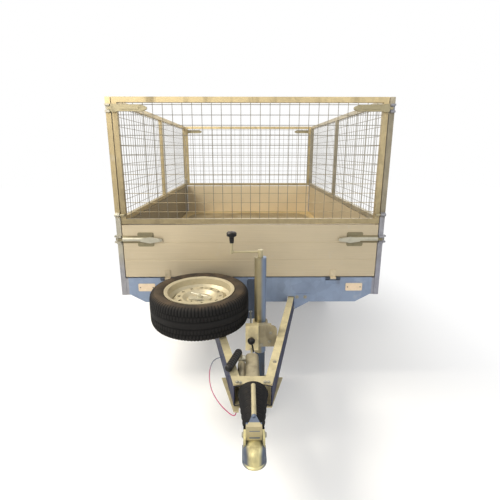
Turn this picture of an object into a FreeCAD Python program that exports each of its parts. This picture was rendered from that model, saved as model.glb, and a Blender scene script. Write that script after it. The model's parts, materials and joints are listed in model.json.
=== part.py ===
import FreeCAD, Part
import math
import os
import re
import Sketcher
from FreeCAD import Placement, Rotation, Vector

os.makedirs("parts", exist_ok=True)

# Braked flat-bed utility trailer with drop boards and a mesh cage.
# x = 0 is the middle, y = 0 the outer face of the front board with y rising to the rear, and
# z = 0 the ground. The Placement of each sub-part moves it by -centre_y, so that the origin of
# the whole lies under the middle of the trailer. All sizes are millimetres and degrees.

SIZES = [
    ("outer_width", 1550, "width over the corner posts"),
    ("outer_length", 2538, "length over the front and rear boards"),
    ("centre_y", 701, "middle of the whole trailer behind the front board"),
    ("floor_bottom", 657, "underside of the floor sheet"),
    ("floor_thick", 15, "floor sheet"),
    ("floor_gap", 5, "floor edge to the inner face of a board"),
    ("steel", 3, "folded steel sheet of the bed"),
    ("seat", 0.2, "gap between pieces that rest on each other"),
    ("cross_bottom", 502, "lower edge of the end crossmembers"),
    ("cross_inset", 45, "end of a crossmember inside the outer width"),
    ("chamfer_x", 93, "width of the crossmember's lower corner cut"),
    ("chamfer_z", 52, "height of the crossmember's lower corner cut"),
    ("cross_flange", 35, "depth of the crossmember's flanges"),
    ("notch_gap", 5, "drawbar arm to the edge of its notch"),
    ("rail_height", 97, "side rail height"),
    ("rail_flange", 40, "side rail flange"),
    ("bearer_width", 40, "floor bearer"),
    ("bearer_front", 340, "front board to the first floor bearer"),
    ("bearer_rear", 178, "last floor bearer to the rear board"),
    ("post_size", 28, "corner post, square"),
    ("post_wall", 3, "wall of the corner post"),
    ("post_bottom", 549, "lower end of the corner posts"),
    ("post_top", 1022, "upper end of the corner posts"),
    ("foot_plate", 5, "plate that ties a post to the crossmember"),
    ("board_thick", 25, "board"),
    ("board_bottom", 664, "lower edge of the boards"),
    ("board_height", 314, "board height"),
    ("board_gap", 5, "board end to post"),
    ("groove", 1.5, "depth of the grooves along a board"),
    ("hinge_out", 10, "hinge axis outside the board's outer face"),
    ("hinge_z", 655, "height of the board hinge axis"),
    ("hinge_drop", 39, "hinge plate below the hinge axis"),
    ("strap_rise", 50, "hinge strap above the hinge axis"),
    ("knuckle_r", 6, "hinge knuckle"),
    ("pin_r", 3.5, "hinge pin"),
    ("loose", 0.3, "clearance of loose pins in their eyes"),
    ("hinge_width", 86, "fixed hinge plate"),
    ("knuckle_width", 24, "each fixed knuckle"),
    ("knuckle_gap", 2, "fixed knuckle to moving knuckle"),
    ("hinge_plate", 4, "hinge plate"),
    ("end_hinge_inset", 254, "hinges of the front and rear board from its ends"),
    ("side_hinge_y", 900, "outer hinges of a side board from its middle"),
    ("latch_z", 893, "height of the board latches"),
    ("latch_in", 138, "middle of the latch plate inside the post"),
    ("latch_wide", 93, "latch plate width"),
    ("latch_high", 83, "latch plate height"),
    ("latch_sheet", 4, "latch plate"),
    ("latch_proud", 24, "latch handle beyond the board's face"),
    ("handle_reach", 98, "latch handle beyond the middle of its plate"),
    ("tongue_high", 14, "latch tongue"),
    ("tongue_thick", 6, "latch tongue"),
    ("tongue_clear", 5, "latch tongue to its keeper"),
    ("keeper_wide", 26, "latch keeper"),
    ("keeper_sheet", 3, "latch keeper"),
    ("keeper_cheek", 10, "cheek above and below the tongue"),
    ("cage_bottom", 985, "underside of the cage"),
    ("cage_top", 1670, "top of the cage"),
    ("cage_tube", 28, "cage tube, square"),
    ("wire_r", 1.6, "mesh wire"),
    ("wire_apart", 0.3, "upright wires to level wires"),
    ("mesh_pitch", 52.7, "mesh pitch"),
    ("first_wire", 10, "first level wire below the top rail"),
    ("mesh_edge", 8, "least distance of an upright wire from the frame"),
    ("cage_gap", 5, "end panel to side panel"),
    ("cage_brace", 50, "height of the lower corner braces of a side panel"),
    ("cage_hinge_z", 1037, "height of the end panels' hinge axis"),
    ("eye_r", 7, "eye of the cage hinge"),
    ("eye_wide", 24, "eye of the cage hinge"),
    ("cage_latch_drop", 58, "cage latches below the top of the cage"),
    ("cage_latch", 190, "cage latch from the edge of its panel"),
    ("cage_latch_high", 34, "cage latch grip"),
    ("tyre_r", 256.5, "tyre"),
    ("tyre_width", 177, "tyre width"),
    ("tyre_wall", 16, "tyre at its tread"),
    ("rim_r", 182.5, "rim flange"),
    ("rim_half", 80, "rim flange from the wheel's middle"),
    ("rim_steel", 4, "rim sheet"),
    ("disc_out", 28, "wheel disc outside the wheel's middle"),
    ("bolt_circle", 49, "wheel bolts from the axis"),
    ("bolt_hole_r", 6.5, "wheel bolt hole"),
    ("vent_circle", 108, "vent holes of the disc from the axis"),
    ("vent_r", 9, "vent hole of the disc"),
    ("axle_y", 1350, "wheel axis"),
    ("wheel_x", 660, "wheel middle"),
    ("beam_size", 70, "axle beam, square"),
    ("beam_half", 545, "half length of the axle beam"),
    ("beam_y", 1210, "axle beam"),
    ("beam_z", 337, "axle beam"),
    ("swing_thick", 18, "swing arm"),
    ("stub_r", 15, "stub axle"),
    ("drum_r", 100, "brake drum"),
    ("guard_r", 292, "inside of the mudguard"),
    ("guard_thick", 4, "mudguard"),
    ("guard_wide", 194, "mudguard"),
    ("guard_low", 60, "ends of the mudguard above the wheel axis"),
    ("arm_width", 36, "drawbar arm flange"),
    ("arm_height", 95, "drawbar arm"),
    ("arm_wall", 4, "drawbar arm wall"),
    ("arm_y", -840, "front end of the drawbar arms"),
    ("arm_x", 76.5, "outer face of the arm at its front end"),
    ("arm_z", 494, "top of the arm at its front end"),
    ("arm_length", 2180, "drawbar arm"),
    ("arm_turn", 12.6, "arm angle to the middle line"),
    ("arm_rise", 2.4, "arm slope"),
    ("tie_deep", 50, "cross plate on the front ends of the arms"),
    ("tie_thick", 6, "cross plate and bottom plate of the arms"),
    ("clip_reach", 26, "tab for the cable ahead of the bottom plate"),
    ("sole_back", 190, "length of the bottom plate under the arms"),
    ("sole_proud", 18, "rear corners of the bottom plate outside the arms"),
    ("jockey_x", 44, "jockey tube"),
    ("jockey_y", -385, "jockey tube"),
    ("jockey_r", 29, "outer tube"),
    ("jockey_wall", 3, "outer tube wall"),
    ("jockey_top", 894, "top of the outer tube"),
    ("jockey_low", 392, "lower end of the outer tube"),
    ("inner_top", 700, "upper end of the inner tube"),
    ("inner_low", 232, "lower end of the inner tube"),
    ("crank_reach", 139, "crank knob from the tube's axis"),
    ("crank_r", 6, "crank rod"),
    ("knob_r", 24, "crank knob"),
    ("roller_r", 105, "jockey wheel"),
    ("roller_w", 50, "jockey wheel width"),
    ("roller_trail", 35, "jockey wheel axis behind the tube's axis"),
    ("fork_gap", 5, "fork plate to jockey wheel"),
    ("fork_sheet", 5, "fork plate"),
    ("carrier_y", -456, "front face of the jockey carrier"),
    ("carrier_top", 566, "top of the jockey carrier"),
    ("carrier_low", 452, "lower edge of the jockey carrier"),
    ("carrier_left", -30, "left edge of the jockey carrier"),
    ("carrier_plate", 6, "jockey carrier plate"),
    ("boss_proud", 8, "thick part of the jockey carrier plate"),
    ("clamp_knob_r", 18, "knob of the tube clamp"),
    ("clamp_half", 38, "half width of the tube clamp"),
    ("ball_y", -1119.5, "ball centre"),
    ("ball_z", 425, "ball centre"),
    ("ball_r", 25, "towing ball"),
    ("head_r", 37, "half width of the coupling head"),
    ("head_back", 62, "coupling head behind the ball"),
    ("handle_length", 162, "tube of the coupling handle"),
    ("handle_rise", 18, "rise of the handle towards its free end"),
    ("shaft_z", 462, "overrun shaft axis"),
    ("shaft_r", 22, "overrun shaft"),
    ("housing_front", -850, "front face of the overrun housing"),
    ("housing_back", -590, "rear face of the overrun housing"),
    ("housing_half", 30, "half width of the overrun housing"),
    ("boot_back_r", 60, "rubber boot at its rear end"),
    ("boot_front_r", 37, "rubber boot at its front end"),
    ("boot_length", 190, "rubber boot"),
    ("boot_fold", 8, "depth of the boot's folds"),
    ("strut_r", 17, "spring cylinder of the handbrake"),
    ("grip_r", 17, "handbrake grip"),
    ("rod_r", 5, "brake rod"),
    ("spare_x", -270, "spare wheel centre"),
    ("spare_y", -288, "spare wheel centre"),
    ("spare_z", 612, "spare wheel centre"),
    ("stay_wide", 57, "upright plate beside the spare wheel"),
    ("lamp_wide", 180, "rear lamp"),
    ("lamp_high", 92, "rear lamp"),
    ("lamp_deep", 15, "rear lamp, clear of the hanging tailgate"),
    ("lamp_z", 585, "middle of the rear lamps"),
    ("plate_wide", 520, "blank number plate"),
    ("plate_high", 110, "blank number plate"),
    ("reflector_wide", 100, "front reflector"),
    ("reflector_high", 47, "front reflector"),
    ("reflector_inset", 152, "middle of a front reflector from the trailer's side"),
    ("reflector_z", 597.5, "middle of the front reflectors"),
    ("cable_r", 2, "breakaway cable"),
]

doc = FreeCAD.newDocument("trailer")
sheet = doc.addObject("Spreadsheet::Sheet", "Sizes")
for row, (alias, number, meaning) in enumerate(SIZES, start=1):
    sheet.set(f"A{row}", alias)
    sheet.set(f"B{row}", str(number))
    sheet.set(f"C{row}", meaning)
    sheet.setAlias(f"B{row}", alias)
doc.recompute()

ALIASES = {alias for alias, _, _ in SIZES}
NODES = {}
HOMES = {}


def linked(words):
    """An expression in which each size name points to its cell."""
    return re.sub(r"[a-z_][a-z_0-9]*", lambda m: "Sizes." + m[0] if m[0] in ALIASES else m[0], str(words))


def size(name):
    """The value of one size."""
    return float(sheet.get(name))


def value(words):
    """The present value of a size expression, worked out in a spare cell."""
    sheet.set("E1", f"={words}")
    sheet.recompute()
    return float(sheet.get("E1"))


def bind(obj, **sizes):
    """Bind properties of an object to size expressions; x, y and z are its position."""
    for name, words in sizes.items():
        path = f"Placement.Base.{name}" if name in ("x", "y", "z") else name
        obj.setExpression(path, linked(words))
    return obj


def primitive(kind, turn, x, y, z, **sizes):
    """A basic solid of the given kind at a point."""
    body = doc.addObject(f"Part::{kind}", kind.lower())
    body.Placement = Placement(Vector(), turn)
    HOMES[body.Name] = (x, y, z)
    return bind(body, x=x, y=y, z=z, **sizes)


def box(x, y, z, dx, dy, dz):
    """A block from its low corner and its three lengths."""
    return primitive("Box", Rotation(), x, y, z, Length=dx, Width=dy, Height=dz)


TURNS = {"x": Rotation(Vector(0, 1, 0), 90), "y": Rotation(Vector(1, 0, 0), -90), "z": Rotation()}


def rod(axis, x, y, z, radius, length):
    """A cylinder that starts at a point and runs along an axis."""
    return primitive("Cylinder", TURNS[axis], x, y, z, Radius=radius, Height=length)


def ball(x, y, z, radius):
    """A ball about a point."""
    return primitive("Sphere", Rotation(), x, y, z, Radius=radius)


def strut(start, end, radius):
    """A round bar between two points, each a triple of size expressions."""
    ends = [Vector(*[value(words) for words in point]) for point in (start, end)]
    along = ends[1] - ends[0]
    turn = Rotation(Vector(0, 0, 1), along)
    run = " + ".join(f"(({b}) - ({a})) ^ 2" for a, b in zip(start, end))
    return primitive("Cylinder", turn, *start, Radius=radius, Height=f"sqrt({run})")


def fused(*shapes):
    """One solid from touching shapes."""
    whole = doc.addObject("Part::MultiFuse", "joined")
    whole.Shapes = list(shapes)
    return whole


def group(*shapes):
    """Separate solids as one object."""
    whole = doc.addObject("Part::Compound", "group")
    whole.Links = list(shapes)
    return whole


def cut(base, *tools):
    """A shape less its tools."""
    result = doc.addObject("Part::Cut", "less")
    result.Base = base
    result.Tool = tools[0] if len(tools) == 1 else fused(*tools)
    return result


def mirrored(source, normal=Vector(1, 0, 0)):
    """The same shape on the other side of a plane through the origin."""
    other = doc.addObject("Part::Mirroring", "mirror")
    other.Source = source
    other.Normal = normal
    return other


def both(shape):
    """A shape and its mirror image across x = 0."""
    return group(shape, mirrored(shape))


def placed(shape, x="0", y="0", z="0", turn=0, axis=Vector(0, 0, 1)):
    """Turn a shape about an axis and move it."""
    shape.Placement = Placement(Vector(), Rotation(axis, turn))
    return bind(shape, x=x, y=y, z=z)


def outline(body, name, plane, offset, corners):
    """A closed sketch on one of a body's own planes.

    Each corner is a pair of size expressions. A third item is the signed radius of an arc to
    the next corner, positive where the arc turns left.
    """
    face = next(f for f in body.Origin.OriginFeatures if f.Role == plane)
    sketch = body.newObject("Sketcher::SketchObject", name)
    sketch.AttachmentSupport = [(face, "")]
    sketch.MapMode = "FlatFace"
    sketch.setExpression("AttachmentOffset.Base.z", linked(offset))
    spots = [Vector(value(c[0]), value(c[1]), 0) for c in corners]
    count = len(corners)
    edges = []
    starts = []
    for i, corner in enumerate(corners):
        first, last = spots[i], spots[(i + 1) % count]
        if len(corner) == 2:
            edges.append(Part.LineSegment(first, last))
            starts.append(1)
            continue
        radius = value(corner[2])
        side = math.copysign(1, radius)
        chord = last - first
        left = Vector(-chord.y, chord.x, 0).normalize()
        high = math.sqrt(max(radius**2 - (chord.Length / 2) ** 2, 0))
        middle = (first + last) * 0.5 + left * (side * (high - abs(radius)))
        edges.append(Part.Arc(first, middle, last))
        starts.append(1 if side > 0 else 2)
    sketch.addGeometry(edges, False)
    for i, corner in enumerate(corners):
        after = (i + 1) % count
        sketch.addConstraint(Sketcher.Constraint("Coincident", i, 3 - starts[i], after, starts[after]))
        for kind, words, at in (("DistanceX", corner[0], spots[i].x), ("DistanceY", corner[1], spots[i].y)):
            index = sketch.addConstraint(Sketcher.Constraint(kind, -1, 1, i, starts[i], at))
            sketch.setExpression(f"Constraints[{index}]", linked(words))
        if len(corner) == 3:
            index = sketch.addConstraint(Sketcher.Constraint("Radius", i, abs(value(corner[2]))))
            sketch.setExpression(f"Constraints[{index}]", linked(f"abs({corner[2]})"))
    return sketch


def padded(name, plane, offset, corners, depth):
    """A body padded from a closed outline."""
    body = doc.addObject("PartDesign::Body", name)
    pad = body.newObject("PartDesign::Pad", name + "_pad")
    pad.Profile = outline(body, name + "_outline", plane, offset, corners)
    pad.setExpression("Length", linked(depth))
    return body


def slab(name, low, high, corners):
    """A body between two y values from an outline of x and z."""
    return padded(name, "XZ_Plane", f"-({high})", corners, f"({high}) - ({low})")


def length_of(name, low, high, corners):
    """A body between two x values from an outline of y and z."""
    return padded(name, "YZ_Plane", low, corners, f"({high}) - ({low})")


def sheet_of(name, low, high, corners):
    """A body between two z values from an outline of x and y."""
    return padded(name, "XY_Plane", low, corners, f"({high}) - ({low})")


def revolved(body, name, corners):
    """Turn an outline of radius and y about the body's y axis."""
    around = body.newObject("PartDesign::Revolution", name)
    around.Profile = outline(body, name + "_outline", "XY_Plane", "0", corners)
    around.ReferenceAxis = (around.Profile[0], ["V_Axis"])
    around.Angle = 360
    return around


def node(label, shape, x="0", y="0", z="0", turn=None, axis=Vector(0, 0, 1)):
    """Name a sub-part and place it in the frame of the whole."""
    if turn is not None:
        shape.Placement = Placement(Vector(), Rotation(axis, turn))
    shape.Label = label
    home = HOMES.get(shape.Name, ("0", "0", "0"))
    bind(shape, x=f"{home[0]} + {x}", y=f"{home[1]} + {y} - centre_y", z=f"{home[2]} + {z}")
    NODES[label] = shape
    return shape


# The bed: end crossmembers, side rails, bearers, floor and corner posts.

HALF = "(outer_width / 2)"
REAR = "outer_length"
CROSS = f"({HALF} - cross_inset)"
END_HINGE = f"({HALF} - post_size - end_hinge_inset)"
CAGE_LATCH = "(cage_top - cage_latch_drop)"
ARM_AT_BED = "(arm_x - arm_y * tan(arm_turn))"
AROUND_X = Vector(1, 0, 0)
AROUND_Y = Vector(0, 1, 0)


def arm_top(x, y):
    """Height of the sloping top of a drawbar arm over a point, x counted outwards."""
    run = f"((({x}) - arm_x) * sin(arm_turn) + (({y}) - arm_y) * cos(arm_turn))"
    return f"(arm_z + {run} * tan(arm_rise))"


def arm_side(y):
    """Outer face of a drawbar arm at a distance along the trailer."""
    return f"(arm_x + (({y}) - arm_y) * tan(arm_turn))"


BEARER_BOTTOM = arm_top(arm_side("beam_y + bearer_width / 2"), "beam_y + bearer_width / 2")


def end_crossmember(name):
    """A channel with its lower corners cut off; its face looks to -y."""
    low = f"({CROSS} - chamfer_x)"
    face = slab(name + "_face", "0", "steel", [
        (f"-{low}", "cross_bottom"),
        (low, "cross_bottom"),
        (CROSS, "cross_bottom + chamfer_z"),
        (CROSS, "floor_bottom"),
        (f"-{CROSS}", "floor_bottom"),
        (f"-{CROSS}", "cross_bottom + chamfer_z"),
    ])
    top = box(f"-{CROSS}", "0", "floor_bottom - steel", f"2 * {CROSS}", "cross_flange", "steel")
    foot = box(f"-{low}", "0", "cross_bottom", f"2 * {low}", "cross_flange", "steel")
    return fused(face, top, foot)


def side_rail():
    """A channel along the bed, open to the inside."""
    inner = f"({HALF} - rail_flange)"
    web = f"({HALF} - steel)"
    low = "(floor_bottom - rail_height)"
    return slab("rail", "post_size", "outer_length - post_size", [
        (HALF, "floor_bottom"),
        (inner, "floor_bottom"),
        (inner, "floor_bottom - steel"),
        (web, "floor_bottom - steel"),
        (web, f"{low} + steel"),
        (inner, f"{low} + steel"),
        (inner, low),
        (HALF, low),
    ])


def bearer(at):
    """An upturned channel across the bed whose ends lie inside the side rails."""
    high = f"(floor_bottom - {BEARER_BOTTOM} - 0.1)"
    middle = length_of("bearer_middle", f"rail_flange - {HALF}", f"{HALF} - rail_flange", [
        (at, "floor_bottom"),
        (at, f"floor_bottom - {high}"),
        (f"{at} + steel", f"floor_bottom - {high}"),
        (f"{at} + steel", "floor_bottom - 2 * steel"),
        (f"{at} + bearer_width - steel", "floor_bottom - 2 * steel"),
        (f"{at} + bearer_width - steel", f"floor_bottom - {high}"),
        (f"{at} + bearer_width", f"floor_bottom - {high}"),
        (f"{at} + bearer_width", "floor_bottom"),
    ])
    ends = length_of("bearer_ends", f"steel - {HALF}", f"{HALF} - steel", [
        (at, "floor_bottom - steel"),
        (at, f"floor_bottom - {high}"),
        (f"{at} + steel", f"floor_bottom - {high}"),
        (f"{at} + steel", "floor_bottom - 2 * steel"),
        (f"{at} + bearer_width - steel", "floor_bottom - 2 * steel"),
        (f"{at} + bearer_width - steel", f"floor_bottom - {high}"),
        (f"{at} + bearer_width", f"floor_bottom - {high}"),
        (f"{at} + bearer_width", "floor_bottom - steel"),
    ])
    return fused(middle, ends)


def corner_post(name, at, back):
    """A square tube with a closed top, tied to the crossmember by a plate."""
    outer = sheet_of(name, "post_bottom", "post_top", [
        (f"{HALF} - post_size", at),
        (HALF, at),
        (HALF, f"{at} + post_size"),
        (f"{HALF} - post_size", f"{at} + post_size"),
    ])
    hollow = box(f"{HALF} - post_size + post_wall", f"{at} + post_wall", "post_bottom - 1",
                 "post_size - 2 * post_wall", "post_size - 2 * post_wall",
                 "post_top - post_bottom + 1 - post_wall")
    foot = box(f"{CROSS} - 30", back, "post_bottom", f"{HALF} - post_size - {CROSS} + 30",
               "foot_plate", "floor_bottom - steel - post_bottom")
    return cut(fused(outer, foot), hollow)


def build_bed():
    """Crossmembers, rails, bearers, floor and posts."""
    notch = box(f"{ARM_AT_BED} - arm_width / cos(arm_turn) - notch_gap", "-1", "cross_bottom - 1",
                "arm_width / cos(arm_turn) + cross_flange * tan(arm_turn) + 2 * notch_gap",
                "cross_flange + 2",
                f"{arm_top(ARM_AT_BED, 'cross_flange')} + notch_gap - cross_bottom + 1")
    node("front_crossmember", cut(end_crossmember("front"), notch, mirrored(notch)))
    node("rear_crossmember", end_crossmember("rear"), y=REAR, turn=180)
    node("side_rails", both(side_rail()))
    ahead = "(beam_y - bearer_width / 2)"
    behind = "(2 * axle_y - beam_y - bearer_width / 2)"
    front_pitch = f"(({ahead} - bearer_front) / 2)"
    rear_pitch = f"(({REAR} - bearer_rear - bearer_width - {behind}) / 2)"
    spots = [f"{ahead} - {k} * {front_pitch}" for k in (2, 1, 0)]
    spots += [f"{behind} + {k} * {rear_pitch}" for k in (0, 1, 2)]
    node("floor_bearers", group(*[bearer(at) for at in spots]))
    inset = "(board_thick + floor_gap)"
    node("floor", box(f"{inset} - {HALF}", inset, "floor_bottom", f"outer_width - 2 * {inset}",
                      f"outer_length - 2 * {inset}", "floor_thick"))
    front = corner_post("front_post", "0", "steel")
    rear = corner_post("rear_post", "(outer_length - post_size)", "outer_length - steel - foot_plate")
    node("corner_posts", group(front, mirrored(front), rear, mirrored(rear)))


# Boards, their hinges and latches. Each is drawn with its outer face at y = 0 looking to -y,
# its length along x, and is then turned to its own side of the bed.

SIDES = {
    "front_board": ("0", "0", 0, f"({HALF} - post_size)", (END_HINGE,)),
    "tailgate": ("0", REAR, 180, f"({HALF} - post_size)", (END_HINGE,)),
    "side_board_left": (f"-{HALF}", "outer_length / 2", -90, "(outer_length / 2 - post_size)",
                        ("side_hinge_y", "0")),
    "side_board_right": (HALF, "outer_length / 2", 90, "(outer_length / 2 - post_size)",
                         ("side_hinge_y", "0")),
}


def board(name, half):
    """An extruded board with two long grooves in its outer face."""
    corners = [("0", "board_bottom")]
    for part in (1, 2):
        level = f"board_bottom + board_height * {part} / 3"
        corners += [("0", f"{level} - 2 * groove"), ("groove", f"{level} - groove"),
                    ("groove", f"{level} + groove"), ("0", f"{level} + 2 * groove")]
    corners += [("0", "board_bottom + board_height"), ("board_thick", "board_bottom + board_height"),
                ("board_thick", "board_bottom")]
    return length_of(name, f"board_gap - {half}", f"{half} - board_gap", corners)


def fixed_hinge(middle):
    """A plate with a knuckle at each end and the pin."""
    low = f"{middle} - hinge_width / 2"
    far = f"{middle} + hinge_width / 2"
    shapes = [box(low, "-hinge_plate", "hinge_z - hinge_drop", "hinge_width", "hinge_plate",
                  "hinge_drop - 2 * knuckle_r - 1")]
    for start in (low, f"{far} - knuckle_width"):
        shapes.append(length_of("knuckle", start, f"{start} + knuckle_width", [
            ("0", "hinge_z - hinge_drop"),
            ("0", "hinge_z + knuckle_r"),
            ("-hinge_out", "hinge_z + knuckle_r", "knuckle_r"),
            ("-hinge_out - knuckle_r", "hinge_z", "knuckle_r"),
            ("-hinge_out", "hinge_z - knuckle_r"),
            ("-hinge_plate", "hinge_z - 2 * knuckle_r"),
            ("-hinge_plate", "hinge_z - hinge_drop"),
        ]))
    shapes.append(rod("x", low, "-hinge_out", "hinge_z", "pin_r", "hinge_width"))
    return fused(*shapes)


def hinge_strap(middle):
    """The moving knuckle and its strap on the board's outer face."""
    wide = "(hinge_width - 2 * knuckle_width - 2 * knuckle_gap)"
    low = f"{middle} - {wide} / 2"
    strap = length_of("strap", low, f"{low} + {wide}", [
        ("0", "hinge_z + strap_rise"),
        ("-hinge_plate", "hinge_z + strap_rise"),
        ("-hinge_plate", "hinge_z + knuckle_r + 1"),
        ("-hinge_out", "hinge_z + knuckle_r", "knuckle_r"),
        ("-hinge_out - knuckle_r", "hinge_z", "knuckle_r"),
        ("-hinge_out", "hinge_z - knuckle_r"),
        ("-hinge_plate - 0.5", "hinge_z"),
        ("-0.5", "board_bottom - 2"),
        ("0", "board_bottom"),
    ])
    bore = rod("x", f"{low} - 1", "-hinge_out", "hinge_z", "pin_r + loose", f"{wide} + 2")
    return cut(strap, bore)


def rounded(left, low, right, top, radius):
    """A rectangle with rounded corners."""
    return [
        (f"{left} + {radius}", low),
        (f"{right} - {radius}", low, radius),
        (right, f"{low} + {radius}"),
        (right, f"{top} - {radius}", radius),
        (f"{right} - {radius}", top),
        (f"{left} + {radius}", top, radius),
        (left, f"{top} - {radius}"),
        (left, f"{low} + {radius}", radius),
    ]


def board_latch(half):
    """A plate with a round case, the tongue that reaches over the post and a tapered handle."""
    middle = f"({half} - latch_in)"
    left, right = f"{middle} - latch_wide / 2", f"{middle} + latch_wide / 2"
    plate = slab("latch_plate", "-latch_sheet", "0",
                 rounded(left, "latch_z - latch_high / 2", right, "latch_z + latch_high / 2", "9"))
    case = length_of("latch_case", f"{left} + 6", f"{half} - board_gap - 2", [
        ("0", "latch_z - 22"),
        ("0", "latch_z + 22"),
        ("-latch_sheet - 4", "latch_z + 20", "19"),
        ("-latch_sheet - 4", "latch_z - 14"),
    ])
    tongue = box(f"{half} - board_gap - 20", "-latch_sheet - tongue_thick", "latch_z - tongue_high / 2",
                 "board_gap + post_size / 2 + 28", "tongue_thick", "tongue_high")
    handle = slab("latch_handle", "-latch_proud", "-latch_sheet - tongue_thick - 2", [
        (f"{right} - 20", "latch_z - 9"),
        (f"{right} - 20", "latch_z + 9"),
        (f"{middle} - 30", "latch_z + 18"),
        (f"{middle} - handle_reach + 3", "latch_z + 8", "10"),
        (f"{middle} - handle_reach + 3", "latch_z - 8"),
        (f"{middle} - 30", "latch_z - 18"),
    ])
    return fused(plate, case, tongue, handle)


def keeper(start, level, deep):
    """A bracket open to -y, with a lug above and one below the tongue."""
    gap = "(tongue_high / 2 + tongue_clear)"
    return length_of("keeper", start, f"{start} + keeper_wide", [
        ("0", f"{level} - {gap} - keeper_cheek"),
        ("0", f"{level} + {gap} + keeper_cheek"),
        (f"-{deep}", f"{level} + {gap} + keeper_cheek"),
        (f"-{deep}", f"{level} + {gap}"),
        ("-keeper_sheet", f"{level} + {gap}"),
        ("-keeper_sheet", f"{level} - {gap}"),
        (f"-{deep}", f"{level} - {gap}"),
        (f"-{deep}", f"{level} - {gap} - keeper_cheek"),
    ])


def build_boards():
    """Four drop boards with their hinges, latches and keepers."""
    fixed = []
    keepers = []
    for name, (x, y, turn, half, hinges) in SIDES.items():
        spots = [h for h in hinges if h == "0"]
        spots += [way + h for h in hinges if h != "0" for way in ("", "-")]
        node(name, board(name + "_panel", half), x=x, y=y, turn=turn)
        latch = board_latch(half)
        straps = [hinge_strap(spot) for spot in spots]
        node(name + "_fittings", group(latch, mirrored(latch), *straps), x=x, y=y, turn=turn)
        fixed.append(placed(group(*[fixed_hinge(spot) for spot in spots]), x=x, y=y, turn=turn))
        catch = keeper(f"{half} + 1", "latch_z", "16")
        keepers.append(placed(both(catch), x=x, y=y, turn=turn))
    node("board_hinges", group(*fixed))
    node("latch_keepers", group(*keepers))


# The mesh cage: fixed side panels and two end panels that fold down.


def mesh_panel(name, frame, openings, half):
    """Square tubes round upright and level wires that lie one behind the other."""
    body = doc.addObject("PartDesign::Body", name)
    pad = body.newObject("PartDesign::Pad", name + "_tubes")
    pad.Profile = outline(body, name + "_frame", "XZ_Plane", "-cage_tube", frame)
    pad.setExpression("Length", linked("cage_tube"))
    for i, opening in enumerate(openings):
        pocket = body.newObject("PartDesign::Pocket", f"{name}_opening{i}")
        pocket.Profile = outline(body, f"{name}_hole{i}", "XZ_Plane", "-cage_tube", opening)
        pocket.setExpression("Length", linked("cage_tube"))
        pocket.Reversed = True
    cells = f"floor(({half} - cage_tube - mesh_edge) / mesh_pitch)"
    rows = "floor((cage_top - cage_bottom - 2 * cage_tube - first_wire - mesh_edge) / mesh_pitch)"
    wires = (
        ("upright", "XY_Plane", "X_Axis", f"2 * {cells}",
         (f"-mesh_pitch * {cells}", "cage_tube / 2 - wire_r - wire_apart / 2", "cage_bottom + cage_tube / 2"),
         "cage_top - cage_bottom - cage_tube"),
        ("level", "YZ_Plane", "Z_Axis", rows,
         ("cage_tube / 2 + wire_r + wire_apart / 2",
          f"cage_top - cage_tube - first_wire - mesh_pitch * {rows}", f"cage_tube / 2 - {half}"),
         f"2 * {half} - cage_tube"),
    )
    origin = {f.Role: f for f in body.Origin.OriginFeatures}
    for kind, plane, axis, count, place, reach in wires:
        wire = body.newObject("PartDesign::AdditiveCylinder", f"{name}_{kind}")
        wire.AttachmentSupport = [(origin[plane], "")]
        wire.MapMode = "FlatFace"
        wire.setExpression("Radius", linked("wire_r"))
        wire.setExpression("Height", linked(reach))
        for letter, words in zip("xyz", place):
            wire.setExpression(f"AttachmentOffset.Base.{letter}", linked(words))
        row = body.newObject("PartDesign::LinearPattern", f"{name}_{kind}s")
        row.Originals = [wire]
        row.Direction = (origin[axis], [""])
        row.setExpression("Length", linked(f"mesh_pitch * {count}"))
        row.setExpression("Occurrences", linked(f"{count} + 1"))
        body.Tip = row
    return body


def side_opening(post, middle):
    """The field between an end post and the middle upright, its lower corner braced."""
    return [
        (f"{post} + cage_tube + 30", "cage_bottom + cage_tube"),
        (middle, "cage_bottom + cage_tube"),
        (middle, "cage_top - cage_tube"),
        (f"{post} + cage_tube", "cage_top - cage_tube"),
        (f"{post} + cage_tube", "cage_bottom + cage_tube + cage_brace"),
    ]


def side_panel(name, half):
    """A side panel that stands on the corner posts, with an upright in its middle."""
    inner = f"({half} - post_size - 2)"
    foot = "post_top + seat"
    frame = [
        (f"-{half}", foot),
        (f"-{inner}", foot),
        (f"-{inner}", "cage_bottom"),
        (inner, "cage_bottom"),
        (inner, foot),
        (half, foot),
        (half, "cage_top"),
        (f"-{half}", "cage_top"),
    ]
    left = side_opening(f"-{half}", "-cage_tube / 2")
    right = [(f"-({across})", up) for across, up in left]
    return mesh_panel(name + "_mesh", frame, [left, right], half)


def end_panel(name, half):
    """A folding end panel: one frame round the mesh."""
    frame = [
        (f"-{half}", "cage_bottom"),
        (half, "cage_bottom"),
        (half, "cage_top"),
        (f"-{half}", "cage_top"),
    ]
    hole = [
        (f"cage_tube - {half}", "cage_bottom + cage_tube"),
        (f"{half} - cage_tube", "cage_bottom + cage_tube"),
        (f"{half} - cage_tube", "cage_top - cage_tube"),
        (f"cage_tube - {half}", "cage_top - cage_tube"),
    ]
    return mesh_panel(name + "_mesh", frame, [hole], half)


def hinge_eye(start, end):
    """An eye on a web that stands out from the panel, with a bore for the pin."""
    eye = length_of("eye", start, end, [
        ("0", "cage_hinge_z - eye_r"),
        ("0", "cage_hinge_z + eye_r"),
        ("-hinge_out", "cage_hinge_z + eye_r", "eye_r"),
        ("-hinge_out - eye_r", "cage_hinge_z", "eye_r"),
        ("-hinge_out", "cage_hinge_z - eye_r"),
    ])
    bore = rod("x", f"{start} - 1", "-hinge_out", "cage_hinge_z", "pin_r + loose", "eye_wide + 2")
    return cut(eye, bore)


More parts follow.
